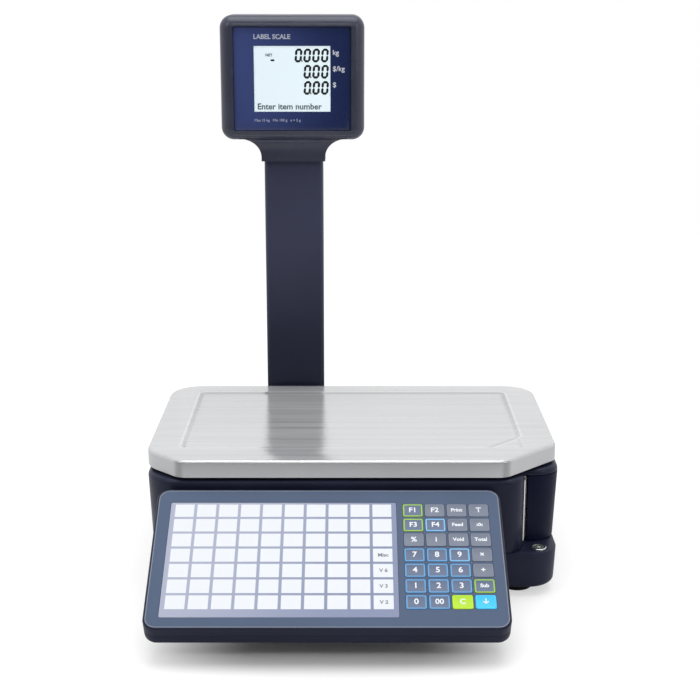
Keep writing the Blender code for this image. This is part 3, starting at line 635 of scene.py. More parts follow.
CARDBOARD = papery("roll_core_board", (0.42, 0.30, 0.18), 500)
LABEL_FACE = papery("label_face_white", (0.86, 0.87, 0.88), 1200)
ROLL_EDGE = wound_paper("roll_edge_paper", (0.80, 0.80, 0.78), "feed_roll_spin")
BOARD_GREEN = circuit_board("circuit_board_green", (0.012, 0.10, 0.035), (0.03, 0.20, 0.07))
INSIDE = moulded("inner_plastic", (0.020, 0.022, 0.030), 0.55)
STUD_ZINC = machined("stud_zinc", (0.55, 0.56, 0.58), 0.34)
CARD_INK = Finish("card_grey_ink", (0.20, 0.21, 0.25), 0.6).material

KEY_FILL = printed_film("key_fill_blue_grey", (0.100, 0.135, 0.220), 0.42)
KEY_GREY = printed_film("key_fill_grey", (0.150, 0.175, 0.235), 0.42)
KEY_GREEN = printed_film("key_green_print", (0.40, 0.66, 0.012), 0.42)
KEY_CYAN = printed_film("key_cyan_print", (0.030, 0.50, 0.86), 0.42)
FRAME_GREEN = printed_film("key_frame_green", (0.26, 0.46, 0.06), 0.42)
FRAME_BLUE = printed_film("key_frame_blue", (0.095, 0.29, 0.56), 0.42)
FRAME_PALE = printed_film("key_frame_pale_blue", (0.17, 0.42, 0.70), 0.42)


# ---- platter ------------------------------------------------------------------------------------
def make_platter():
    low, high = extent("platter")
    piece = block("platter_pressing", low, high)
    left_cut, right_cut = CORNER_CUTS
    for corner, width, steps in (((low.x, low.y), left_cut, 1), ((high.x, low.y), right_cut, 1),
                                 ((high.x, high.y), 0.030, 12), ((low.x, high.y), 0.032, 12)):
        round_edges(piece, along(2, near=corner), width, steps)
    round_edges(piece, along(2, near=(low.x, low.y + left_cut)), 0.0130, 8)
    for bend in ((low.x + left_cut, low.y), (high.x - right_cut, low.y), (high.x, low.y + right_cut)):
        round_edges(piece, along(2, near=bend), 0.0060, 6)
    dish_low, dish_high = DISH
    floor = high.z - 0.0018
    dish = block("dish", (*dish_low, floor), (*dish_high, high.z + 0.0018))
    round_edges(dish, along(2, near=(dish_high.x, dish_low.y)), DISH_CHAMFER, 1)
    round_edges(dish, along(2), 0.0040, 5)
    middle = (dish_low + dish_high) / 2
    taper(dish, 2, floor, (0.966, 0.944, 1), (*middle, floor))
    taper(dish, 2, high.z + 0.0018, (1.034, 1.056, 1), (*middle, floor))
    cut(piece, dish)

    def dish_rim(z):
        return lambda a, b: all(
            abs(p.z - z) < 0.00005 and low.x + 0.018 < p.x < high.x - 0.018
            and low.y + 0.018 < p.y < high.y - 0.016
            for p in (a, b)
        )

    round_edges(piece, dish_rim(high.z), 0.0017, 4)
    round_edges(piece, dish_rim(floor), 0.0017, 4)
    round_edges(piece, lambda a, b: level(2, high.z)(a, b) and not dish_rim(high.z)(a, b), 0.0034, 6)
    opened(piece)
    pick("FACE", lambda c, n: n.z < -0.9)
    bpy.ops.mesh.delete(type="FACE")
    closed()
    hold(piece)
    wall = piece.modifiers.new("sheet", "SOLIDIFY")
    wall.thickness = 0.0011
    wall.offset = -1
    bpy.ops.object.modifier_apply(modifier="sheet")
    painted(piece, STEEL)
    mount(piece, "platter", "platter", smooth=24)


# ---- housing and base ---------------------------------------------------------------------------
def round_pole(name, grow, z0, z1):
    """A block that stands off the pole by the same distance on all four sides."""
    return block(name, (POLE_LOW.x - grow, POLE_LOW.y - grow, z0),
                 (POLE_HIGH.x + grow, POLE_HIGH.y + grow, z1))


FEET = ("foot_front_left", "foot_front_right", "foot_rear_left", "foot_rear_right")


def make_base():
    low, high = extent("base_pan")
    piece = block("base_moulding", low, high)
    centre = ((low.x + high.x) / 2, (low.y + high.y) / 2, low.z)
    taper(piece, 2, low.z, (1 - 0.0028 / 0.36, 1 - 0.0028 / 0.28, 1), centre)
    for corner, width in (((low.x, low.y), 0.034), ((high.x, low.y), 0.025),
                          ((high.x, high.y), 0.0225), ((low.x, high.y), 0.0225)):
        round_edges(piece, along(2, near=corner, reach=0.004), width, 10)
    round_edges(piece, level(2, low.z), 0.0045, 6)
    round_edges(piece, level(2, high.z), 0.0008, 2)
    well = block("well", (low.x + 0.0070, low.y + 0.0070, 0.0112), (0.058, high.y - 0.0070, 0.06))
    round_edges(well, along(2, near=(low.x + 0.007, low.y + 0.007)), 0.026, 5)
    round_edges(well, along(2, near=(low.x + 0.007, high.y - 0.007)), 0.016, 5)
    deck = block("under_deck", (0.050, low.y + 0.0078, 0.0112),
                 (high.x - 0.0070, high.y - 0.0078, SEAM - 0.003))
    for y in (low.y + 0.0078, high.y - 0.0078):
        round_edges(deck, along(2, near=(high.x - 0.007, y)), 0.020, 5)
    cut(piece, well, deck)
    spirit = extent("spirit_level")
    middle = (spirit[0] + spirit[1]) / 2
    cut(piece, rod("level_hole", (middle.x, middle.y, 0.030), 0.0076, 0.03))
    for node in ("power_inlet", "power_switch"):
        a, b = extent(node)
        cut(piece, block("hole", (a.x - 0.0004, a.y - 0.002, a.z - 0.0004),
                         (b.x + 0.0004, b.y + 0.02, b.z + 0.0004)))
    board_low, board_high = extent("main_board")
    cell_low, cell_high = extent("load_cell")
    for x in (board_low.x + 0.006, board_high.x - 0.006):
        for y in (board_low.y + 0.006, board_high.y - 0.008):
            merge(piece, rod("board_post", (x, y, 0.010), 0.003, board_low.z - 0.0103, sides=24))
    merge(piece, block("cell_seat", (cell_low.x - 0.0025, cell_low.y, 0.010),
                       (cell_high.x + 0.0025, cell_low.y + 0.032, cell_low.z - 0.0003)))
    merge(piece, round_pole("pole_socket", 0.0042, 0.010, SEAM - 0.002))
    cut(piece, round_pole("pole_room", 0.0006, 0.011, 0.06))
    for node in FEET:
        a, b = extent(node)
        x, y = (a.x + b.x) / 2, (a.y + b.y) / 2
        merge(piece, rod("foot_boss", (x, y, 0.010), 0.009, 0.019, sides=40))
        cut(piece, rod("stud_hole", (x, y, 0), 0.0043, 0.0268, sides=32))
    painted(piece, NAVY)
    mount(piece, "body", "base_pan")


def make_housing():
    low, high = extent("upper_housing")
    piece = block("housing_moulding", low, high)
    centre = ((low.x + high.x) / 2, (low.y + high.y) / 2, low.z)
    taper(piece, 2, low.z, (1 - 0.0054 / 0.371, 1 - 0.0054 / 0.29, 1), centre)
    cut(piece, block("notch", (0.152, low.y - 0.02, 0), (high.x + 0.02, -0.048, 0.2)))
    for corner, width in (((low.x, low.y), 0.034), ((0.152, low.y), 0.018), ((high.x, -0.048), 0.022),
                          ((high.x, high.y), 0.022), ((low.x, high.y), 0.022)):
        round_edges(piece, along(2, near=corner, reach=0.004), width, 10)
    round_edges(piece, level(2, high.z), 0.0045, 6)
    round_edges(piece, level(2, low.z), 0.0006, 2)
    inside = block("inside", (low.x + 0.006, low.y + 0.006, 0.03), (0.0595, high.y - 0.006, high.z - 0.003))
    round_edges(inside, along(2, near=(low.x + 0.006, low.y + 0.006)), 0.028, 5)
    front_room = block("front_room", (0.05, low.y + 0.0063, 0.03), (0.146, -0.051, high.z - 0.0031))
    round_edges(front_room, along(2, near=(0.146, low.y + 0.0063)), 0.013, 5)
    round_edges(inside, along(2, near=(low.x + 0.006, high.y - 0.006)), 0.018, 5)
    rear_room = block("rear_room", (0.05, 0.168, 0.03), (high.x - 0.006, high.y - 0.0063, high.z - 0.0031))
    round_edges(rear_room, along(2, near=(high.x - 0.006, high.y - 0.0063)), 0.019, 5)
    bay = block("bay", (0.0625, -0.0481, 0.03), (high.x + 0.02, 0.165, 0.1064))
    cut(piece, inside, front_room, rear_room, bay)
    post_x = (extent("load_cell")[0].x + extent("load_cell")[1].x) / 2
    cut(piece, rod("post_hole", (post_x, 0.096, 0.10), 0.013, 0.03))
    cut(piece, round_pole("pole_hole", FIT, 0.10, 0.13))
    vents = []
    for left, right, count in ((-0.150, -0.147, 6), (0.080, 0.083, 10)):
        for k in range(count):
            across = 0.008 * k
            vents.append(block("vent", (left + across, high.y - 0.008, 0.062),
                               (right + across, high.y + 0.01, 0.086)))
    cut(piece, gathered("vents", vents))
    painted(piece, NAVY)
    mount(piece, "body", "upper_housing")

    a, b = extent("tear_bar")
    blade = block("tear_bar_blade", a, b)
    opened(blade)
    pick("EDGE", lambda p, q: abs(p.z - q.z) > 0.01)
    bpy.ops.mesh.subdivide(number_cuts=77)
    pick("VERT", lambda p: abs(p.y - b.y) < 0.00005 and round((p.z - a.z) / ((b.z - a.z) / 78)) % 2 == 1)
    bpy.ops.transform.translate(value=(0, -0.0006, 0))
    closed()
    painted(blade, TEAR_STEEL)
    mount(blade, "body", "tear_bar", smooth=15)


def make_door():
    low, high = extent("printer_door")
    piece = block("door_moulding", (0.1565, low.y, low.z), (0.186, high.y, high.z))
    taper(piece, 2, low.z, (1 - 0.0026 / 0.0295, 1 - 0.0026 / 0.206, 1), (0.1565, high.y, low.z))
    round_edges(piece, along(2, near=(0.186, low.y), reach=0.004), 0.022, 12)
    round_edges(piece, along(2, near=(0.1565, low.y), reach=0.004), 0.0012, 3)
    inside = block("inside", (0.10, low.y + 0.0055, 0), (0.1805, high.y + 0.05, 0.2))
    round_edges(inside, along(2, near=(0.1805, low.y + 0.0055)), 0.0185, 10)
    cut(piece, inside)
    round_edges(piece, level(2, high.z), 0.0008, 2)
    grip = rod("grip", (0.1905, 0.118, 0.058), 0.008, 0.034, sides=32)
    cut(piece, grip)
    a = Vector((0.1795, 0.1572, 0))
    merge(piece, block("ear", (a.x - 0.0025, a.y - 0.010, 0.0503), (0.1815, a.y + 0.0010, 0.0530)))
    cut(piece, rod("relief", (a.x, a.y, 0.03), 0.0026, 0.0203),
        block("relief", (a.x - 0.01, a.y - 0.0024, 0.03), (a.x, a.y + 0.0024, 0.0503)))
    painted(piece, SHADED_DOOR_NAVY)
    mount(piece, "printer_door", "printer_door")


def make_spirit_level():
    low, high = extent("spirit_level")
    x, y, r = (low.x + high.x) / 2, (low.y + high.y) / 2, (high.x - low.x) / 2
    ring = rod("level_ring", (x, y, low.z), r, high.z - low.z, sides=64)
    round_edges(ring, level(2, high.z), 0.0007, 3)
    cut(ring, rod("bowl", (x, y, high.z - 0.0011), r - 0.0018, 0.01, sides=64))
    painted(ring, CHROME)
    vial = rod("level_vial", (x, y, high.z - 0.0010), r - 0.0019, 0.0006, sides=64)
    round_edges(vial, level(2, high.z - 0.0004), 0.0004, 3)
    painted(vial, FLUID)
    lay_down()
    bpy.ops.mesh.primitive_uv_sphere_add(segments=24, ring_count=12, radius=0.0017,
                                         location=(x + 0.0002, y - 0.0001, high.z - 0.00035))
    bubble = bpy.context.object
    bubble.scale.z = 0.12
    settle(bubble)
    painted(bubble, BUBBLE)
    lay_down()
    bpy.ops.mesh.primitive_torus_add(location=(x, y, high.z - 0.00038), major_radius=0.0024,
                                     minor_radius=0.00012, major_segments=40, minor_segments=8)
    mark = settle(bpy.context.object)
    painted(mark, LCD_INK)
    mount(gathered("spirit_level_vial", [ring, vial, bubble, mark]), "body", "spirit_level")


def make_feet():
    for node in FEET:
        low, high = extent(node)
        x, y, r = (low.x + high.x) / 2, (low.y + high.y) / 2, (high.x - low.x) / 2
        pad = rod(node + "_pad", (x, y, low.z), r, 0.0060, sides=60)
        round_edges(pad, level(2, low.z), 0.0012, 3)
        round_edges(pad, level(2, low.z + 0.006), 0.0014, 3)
        groove = rod("groove", (x, y, low.z + 0.0026), r + 0.002, 0.0008, sides=60)
        cut(groove, rod("core", (x, y, low.z), r - 0.0006, 0.01, sides=60))
        cut(pad, groove)
        painted(pad, RUBBER)
        stud = rod("stud", (x, y, low.z + 0.006), 0.0038, high.z - low.z - 0.0065, sides=32)
        round_edges(stud, level(2, high.z - 0.0005), 0.0006, 2)
        painted(stud, STUD_ZINC)
        mount(gathered(node + "_pad", [pad, stud]), node, node)


# ---- pole and head ------------------------------------------------------------------------------
def make_pole():
    piece = block("pole_tube", POLE_LOW, POLE_HIGH)
    round_edges(piece, along(2), 0.0040, 6)
    cut(piece, round_pole("bore", -POLE_WALL, 0, 0.5))
    painted(piece, POLE_PAINT_AND_SHADE)
    mount(piece, "body", "pole")


def neck(name, front, back, top, low):
    """The lower part of a head half: a sleeve round the pole that flares out to the head above."""
    half, recess, flare, shallower = 0.0318, 0.0125, 0.0215, 0.0065
    start = low.z + 0.004
    piece = block(name, (POLE_X - half, front + recess, low.z), (POLE_X + half, back, start))
    reached, wide, deep = start, half, recess
    steps = 14
    for k in range(1, steps + 1):
        angle = math.pi / 2 * k / steps
        z = start + (top - start) * math.sin(angle)
        new_half = half + flare * (1 - math.cos(angle))
        new_deep = recess - shallower * (1 - math.cos(angle))
        opened(piece)
        pick("FACE", lambda c, n: n.z > 0.9 and abs(c.z - reached) < 0.0001)
        bpy.ops.mesh.extrude_region_move(TRANSFORM_OT_translate={"value": (0, 0, z - reached)})
        bpy.ops.transform.resize(
            value=(new_half / wide, (back - front - new_deep) / (back - front - deep), 1),
            center_override=(POLE_X, back, z),
        )
        closed()
        reached, wide, deep = z, new_half, new_deep
    opened(piece)
    pick("FACE", lambda c, n: n.z > 0.9 and abs(c.z - reached) < 0.0001)
    bpy.ops.mesh.extrude_region_move(TRANSFORM_OT_translate={"value": (0, 0, 0.0040)})
    closed()
    return piece


def window_opening(name, grow, y0, y1):
    piece = block(name, (WINDOW_LOW.x - grow, y0, WINDOW_LOW.z - grow),
                  (WINDOW_HIGH.x + grow, y1, WINDOW_HIGH.z + grow))
    return round_edges(piece, along(1), 0.0018 + max(grow, 0), 5)


def to_customer(piece, rear):
    """Turns a piece made for the operator's side round to the customer's, as a mirror image."""
    if not rear:
        return piece
    piece.matrix_world = Matrix.Translation((0, 2 * HEAD_Y, 0)) @ Matrix.Scale(-1, 4, (0, 1, 0))
    settle(piece)
    opened(piece)
    bpy.ops.mesh.select_all(action="SELECT")
    bpy.ops.mesh.normals_make_consistent(inside=False)
    closed()
    return piece


def make_head(node, rear):
    low, high = extent("head_front")
    front, back = low.y, high.y
    head_low = 0.3842
    piece = block(node + "_shell", (low.x, front, head_low), (high.x, back, high.z))
    round_edges(piece, along(1), 0.0125, 12)
    round_edges(piece, level(1, front), 0.0118, 16)
    merge(piece, neck("neck", front, back, head_low + 0.0008, low))
    bezel = block("bezel", (WINDOW_LOW.x, front - 0.001, WINDOW_LOW.z),
                  (WINDOW_HIGH.x, front + 0.0026, WINDOW_HIGH.z))
    round_edges(bezel, along(1, shortest=0.001), 0.0018, 4)
    taper(bezel, 1, front - 0.001, (1.030, 1, 1.036), (POLE_X, front, WINDOW_Z))
    cut(piece, bezel, window_opening("rebate", 0.0003, front + 0.0020, front + 0.0048),
        window_opening("through", -0.003, front + 0.0040, front + 0.0090))

    def round_window(a, b):
        return level(1, front)(a, b) and abs(a.x - POLE_X) < 0.0605 and abs(a.z - WINDOW_Z) < 0.053

    round_edges(piece, round_window, 0.0012, 3)
    hollow = block("hollow", (low.x + 0.003, front + 0.0075, 0.388),
                   (high.x - 0.003, back + 0.01, high.z - 0.003))
    round_edges(hollow, along(1), 0.009, 6)
    cut(piece, hollow)
    cut(piece, round_pole("sleeve", FIT, 0.3, POLE_HIGH.z + FIT))
    to_customer(piece, rear)
    painted(piece, HEAD_NAVY)
    mount(piece, "body", node, smooth=28)


def segment(name, x, z, length, upright, y):
    """One bar of a seven-segment figure, pointed at both ends."""
    thick = 0.0023
    size = (thick, length) if upright else (length, thick)
    piece = block(name, (x - size[0] / 2, y, z - size[1] / 2),
                  (x + size[0] / 2, y + 0.0001, z + size[1] / 2))
    return round_edges(piece, along(1, shortest=0.00005), thick * 0.42, 1)


def zero_figure(right, bottom, height, y):
    """The six lit bars of a 0."""
    width = height * 0.44
    half = height / 2
    bars = [
        segment("bar", right - width / 2, bottom, width * 0.98, False, y),
        segment("bar", right - width / 2, bottom + height, width * 0.98, False, y),
    ]
    for x in (right - width, right):
        for z in (bottom + half * 0.5, bottom + half * 1.5):
            bars.append(segment("bar", x, z, half * 0.93, True, y))
    return bars


def reading(decimals, right, bottom, height, y):
    """A row of zeros with its decimal point, slanted like a segment display's."""
    pitch = height * 0.78
    bars = []
    for place in range(decimals + 1):
        bars += zero_figure(right - place * pitch, bottom, height, y)
    point = right - decimals * pitch + pitch * 0.16
    bars.append(block("point", (point - 0.00065, y, bottom - 0.0005),
                      (point + 0.00065, y + 0.0001, bottom + 0.0008)))
    piece = gathered("reading", bars)
    for vertex in piece.data.vertices:
        vertex.co.x += (vertex.co.z - bottom) * 0.09
    return painted(piece, LCD_INK)


def make_display(side, rear):
    node = side + "_display"
    low, high = extent("operator_display")
    glass_low, glass_high = extent("operator_window")
    lcd_low = Vector((POLE_X - 0.0376, glass_low.y, WINDOW_Z - 0.0317))
    lcd_high = Vector((POLE_X + 0.0376, glass_high.y, WINDOW_Z + 0.0321))

    plate = block("plate", glass_low, glass_high)
    round_edges(plate, along(1, shortest=0.0005), 0.0018, 4)
    round_edges(plate, level(1, glass_low.y), 0.0003, 2)
    cut(plate, block("hole", (lcd_low.x, glass_low.y - 0.01, lcd_low.z),
                     (lcd_high.x, glass_high.y + 0.01, lcd_high.z)))
    painted(plate, WINDOW_PRINT_AND_LIGHT)
    y = glass_low.y - 0.00004
    inks = []
    rows = ((3, "kg"), (2, "$/kg"), (2, "$"))
    marks = []
    for row, (_, unit) in enumerate(rows):
        z = lcd_high.z - 0.0085 - row * 0.0155
        marks.append(lettering("unit", unit, 0.0068, (lcd_high.x + 0.0020, y, z + 0.0018), 0.00010,
                               PRINT_WHITE, "LEFT", "front"))
    marks.append(lettering("limits", "Max 15 kg   Min 100 g   e = 5 g", 0.0036,
                           (lcd_low.x, y, lcd_low.z - 0.0082), 0.00008, PRINT_DIM, "LEFT", "front"))
    marks.append(lettering("title", "LABEL SCALE", 0.0062,
                           (lcd_low.x, y, lcd_high.z + 0.0085), 0.00022, PRINT_PALE, "LEFT", "front"))
    window = gathered(side + "_window_plate", [plate, *marks])

    panel = block("panel", low, high)
    boss = block("boss", (lcd_low.x + 0.0002, glass_low.y + 0.0005, lcd_low.z + 0.0002),
                 (lcd_high.x - 0.0002, low.y + 0.001, lcd_high.z - 0.0002))
    merge(panel, boss)
    painted(panel, INSIDE, LCD)
    paint_faces(panel, 1, lambda c, n: n.y < -0.9 and c.y < low.y - 0.0005)
    y = glass_low.y + 0.00044
    for row, (decimals, _) in enumerate(rows):
        inks.append(reading(decimals, lcd_high.x - 0.0036, lcd_high.z - 0.0148 - row * 0.0156, 0.0110, y))
    message_place = (lcd_low.x + 0.0030, y + 0.00004, lcd_low.z + 0.0050)
    inks.append(lettering("message", "Enter item number", 0.0082, message_place, 0.00020, LCD_FAINT, "LEFT",
                          "front"))
    net_place = (lcd_low.x + 0.0150, y + 0.00004, lcd_high.z - 0.0090)
    net = lettering("net", "NET", 0.0036, net_place, 0.00015, LCD_FAINT, facing="front")
    pointer = block("pointer", (lcd_low.x + 0.0165, y, lcd_high.z - 0.0148),
                    (lcd_low.x + 0.0205, y + 0.00005, lcd_high.z - 0.0130))
    painted(round_edges(pointer, along(1, shortest=0.00005), 0.0006, 1), LCD_INK)
    display = gathered(side + "_display_panel", [panel, *inks, net, pointer])

    if rear:
        about = Matrix.Translation((POLE_X, HEAD_Y, 0)) @ Matrix.Rotation(math.pi, 4, "Z")
        about = about @ Matrix.Translation((-POLE_X, -HEAD_Y, 0))
        turn_whole(window, about)
        turn_whole(display, about)
    mount(window, "body", side + "_window")
    mount(display, "body", node)


# ---- keypad -------------------------------------------------------------------------------------
def key_corner(column, row):
    return KEY_FIRST[0] + column * KEY_PITCH[0], KEY_FIRST[1] - row * KEY_PITCH[1]


def housing_room():
    """All that lies behind the housing's front wall, where the keypad's casing must end."""
    return block("back_cut", (-0.3, HOUSING_FRONT, 0), (0.3, 0.1, 0.3))


def make_keypad_casing():
    x, y = KEYPAD_HALF
    top = block("keypad_rim", (-x, -y, -0.0092), (x, y, 0))
    round_edges(top, along(2), KEYPAD_CORNER, 10)
    round_edges(top, level(2, 0), 0.0016, 5)
    pocket = block("pocket", (-x + KEYPAD_LIP, -y + KEYPAD_LIP, -0.00045),
                   (x - KEYPAD_LIP, y - KEYPAD_LIP, 0.01))
    round_edges(pocket, along(2), 0.0092, 8)
    cut(top, pocket)
    inside = block("inside", (-x + KEYPAD_WALL, -y + KEYPAD_WALL, -0.02),
                   (x - KEYPAD_WALL, y - KEYPAD_WALL, -0.0025))
    round_edges(inside, along(2), 0.006, 4)
    wells = []
    for row in range(7):
        for column in range(4):
            a, b = key_corner(column, row)
            well = block("well", (a - FIT, b - KEY_SIZE[1] - FIT, -0.01),
                         (a + KEY_SIZE[0] + FIT, b + FIT, 0.01))
            wells.append(round_edges(well, along(2), 0.0013, 3))
    wells = gathered("wells", wells)
    card = block("card_well", (CARD[0] - FIT, CARD[1] - FIT, -0.0010), (CARD[2] + FIT, CARD[3] + FIT, 0.01))
    round_edges(card, along(2), 0.0015, 4)
    film = block("keypad_film", (-x + 0.0019, -y + 0.0019, -0.00044), (x - 0.0019, y - 0.0019, -0.00002))
    round_edges(film, along(2, shortest=0.0003), 0.0091, 8)
    opened(film)
    pick("FACE", lambda c, n: n.z > 0.99)
    bpy.ops.mesh.inset(thickness=0.0007)
    closed()
    cut(film, copied(wells, "film_wells", (0, 0, 0)), copied(card, "film_card", (0, 0, 0)))
    cut(top, inside, wells, card)
    painted(top, NAVY)
    painted(film, OVERLAY, FILM_EDGE_HIGHLIGHT)

    def on_edge(c, n):
        past_x, past_y = max(abs(c.x) - x + KEYPAD_CORNER, 0), max(abs(c.y) - y + KEYPAD_CORNER, 0)
        return math.hypot(past_x, past_y) > 0.0084

    # painted highlight along the film's rounded edge
    paint_faces(film, 1, on_edge)
    onto_keypad(top)
    cut(top, housing_room())
    onto_keypad(film)
    mount(gathered("keypad_top_moulding", [top, film]), "body", "keypad_frame")

    base = block("keypad_bottom_moulding", (-x, -y, -0.020), (x, y, -0.0095))
    round_edges(base, along(2), KEYPAD_CORNER, 10)
    round_edges(base, level(2, -0.020), 0.0026, 5)
    round_edges(base, level(2, -0.0095), 0.0006, 2)
    tray = block("tray", (-x + KEYPAD_WALL, -y + KEYPAD_WALL, -0.0175),
                 (x - KEYPAD_WALL, y - KEYPAD_WALL, 0.01))
    round_edges(tray, along(2), 0.006, 4)
    onto_keypad(base)
    onto_keypad(tray)
    arm = block("arm", (-0.090, -0.112, 0.046), (0.050, HOUSING_FRONT, 0.072))
    round_edges(arm, level(2, 0.046), 0.004, 4)
    merge(base, arm)
    cut(base, housing_room(), tray)
    painted(base, NAVY)
    mount(base, "body", "keypad_base")


def make_preset_card():
    sheet = block("sheet", (CARD[0], CARD[1], -0.0007), (CARD[2], CARD[3], -0.0001))
    round_edges(sheet, along(2, shortest=0.0003), 0.0014, 4)
    painted(sheet, CARD_EDGE, CARD_WHITE)
    x, y = FIRST_ZONE
    tile = block("zone", (x, y - 0.0138, -0.00012), (x + 0.0163, y, -0.00004))
    round_edges(tile, along(2, shortest=0.00005), 0.0004, 2)
    painted(tile, CARD_WHITE)
    zones = [tile]
    for row in range(7):
        for column in range(10):
            if row or column:
                zones.append(copied(tile, "zone", (column * KEY_PITCH[0], -row * KEY_PITCH[1], 0)))
    marks = []
    for row, words in enumerate(("Misc", "V 6", "V 3", "V 2"), 3):
        place = (x + 9 * KEY_PITCH[0] + 0.0085, y - row * KEY_PITCH[1] - 0.0069, -0.00003)
        marks.append(lettering("zone_mark", words, 0.0050, place, 0.00015, CARD_INK))
    piece = onto_keypad(gathered("preset_card", [sheet, *zones, *marks]))
    mount(piece, "body", "preset_sheet")


PLAIN, GREEN_FILL, CYAN_FILL = (None, KEY_GREY), (None, KEY_GREEN), (None, KEY_CYAN)
BLUE, PALE, GREEN = (FRAME_BLUE, KEY_FILL), (FRAME_PALE, KEY_FILL), (FRAME_GREEN, KEY_FILL)
KEYS = (
    (("mode_a", "F1", GREEN), ("mode_b", "F2", PLAIN), ("print", "Print", PLAIN), ("tare", "T", PLAIN)),
    (("mode_c", "F3", GREEN), ("mode_d", "F4", PALE), ("feed", "Feed", PLAIN), ("zero", "›0‹", PLAIN)),
    (("discount", "%", PLAIN), ("recall", "i", PLAIN), ("void", "Void", PLAIN), ("total", "Total", PLAIN)),
    (("7", "7", BLUE), ("8", "8", BLUE), ("9", "9", PALE), ("times", "×", PLAIN)),
    (("4", "4", BLUE), ("5", "5", BLUE), ("6", "6", BLUE), ("plus", "+", PLAIN)),
    (("1", "1", BLUE), ("2", "2", BLUE), ("3", "3", BLUE), ("subtotal", "Sub", GREEN)),
    (("0", "0", BLUE), ("00", "00", BLUE), ("clear", "C", GREEN_FILL), ("enter", "↓", CYAN_FILL)),
)


def make_keys():
    cap = block("key_cap", (0, -KEY_SIZE[1], -0.0045), (KEY_SIZE[0], 0, 0.0004))
    round_edges(cap, along(2), 0.0016, 5)
    round_edges(cap, level(2, 0.0004), 0.0002, 2)
    opened(cap)
    pick("FACE", lambda c, n: n.z > 0.99 and c.z > 0.00035)
    bpy.ops.mesh.inset(thickness=0.0010)
    bpy.ops.mesh.inset(thickness=0.00012, depth=-0.00006)
    closed()
    for row, keys in enumerate(KEYS):
        for column, (name, legend, (rim, fill)) in enumerate(keys):
            x, y = key_corner(column, row)
            key = copied(cap, "key_top_" + name, (x, y, 0))
            painted(key, rim or fill, fill)
            middle = Vector((x + KEY_SIZE[0] / 2, y - KEY_SIZE[1] / 2))
            paint_faces(key, 1, lambda c, n: n.z > 0.9 and (c.xy - middle).length < 0.003)
            size = 0.0078 if legend in "0123456789" else 0.0072 if len(legend) <= 2 else 0.0050
            place = (x + KEY_SIZE[0] / 2, y - KEY_SIZE[1] / 2 + 0.0003, 0.00038)
            mark = lettering("legend", legend, size, place, 0.00016, PRINT_WHITE)
            piece = onto_keypad(gathered("key_top_" + name, [key, mark]))
            mount(piece, "key_" + name, "key_" + name)
    bpy.data.objects.remove(cap)


# ---- inside the housing -------------------------------------------------------------------------
def screw_head(name, x, y, z, radius=0.0026, height=0.0016):
    """A socket cap screw's head, standing up from z."""
    head = rod(name, (x, y, z), radius, height, sides=24)
    round_edges(head, level(2, z + height), radius * 0.18, 2)
    return painted(cut(head, rod("socket", (x, y, z + height * 0.4), radius * 0.55, 0.01, sides=6)),
                   SCREW_STEEL)


def make_load_cell():
    low, high = extent("load_cell")
    middle, height = (low.y + high.y) / 2, (low.z + high.z) / 2
    beam = block("load_cell_beam", low, high)
    round_edges(beam, along(1), 0.0007, 2)
    holes = [
        rod("hole", (low.x - 0.001, middle + side * 0.012, height), 0.008, high.x - low.x + 0.002, "X", 48)
        for side in (-1, 1)
    ]
    slot = block("slot", (low.x - 0.001, middle - 0.012, height - 0.0012),
                 (high.x + 0.001, middle + 0.012, height + 0.0012))
    threads = [
        rod("thread", ((low.x + high.x) / 2, y, high.z - 0.009), 0.0025, 0.01, sides=24)
        for y in (low.y + 0.009, low.y + 0.024)
    ]
    cut(beam, *holes, slot, *threads)
    painted(beam, ALUMINIUM)
    sealed = []
    for side in (-1, 1):
        y = middle + side * 0.012
        cover = block("gauge_sealant", (low.x + 0.004, y - 0.0075, high.z - 0.0002),
                      (high.x - 0.004, y + 0.0075, high.z + 0.0007))
        round_edges(cover, along(2), 0.003, 5)
        round_edges(cover, level(2, high.z + 0.0007), 0.0006, 3)
        sealed.append(painted(cover, SEALANT))
    mount(gathered("load_cell_beam", [beam, *sealed]), "body", "load_cell")


def chip(name, x, y, z, size, height, pins):
    """A black integrated circuit with legs along two sides."""
    body = block(name, (x - size[0] / 2, y - size[1] / 2, z + 0.0002),
                 (x + size[0] / 2, y + size[1] / 2, z + height))
    round_edges(body, level(2, z + height), 0.0003, 2)
    painted(body, BLACK)
    legs = []
    for side in (-1, 1):
        for k in range(pins):
            px = x - size[0] / 2 + size[0] * (k + 0.5) / pins
            py = y + side * (size[1] / 2 + 0.0004)
            leg = block("leg", (px - 0.0002, py - 0.0006, z), (px + 0.0002, py + 0.0006, z + height * 0.5))
            legs.append(painted(leg, TINNED))
    return [body, *legs]


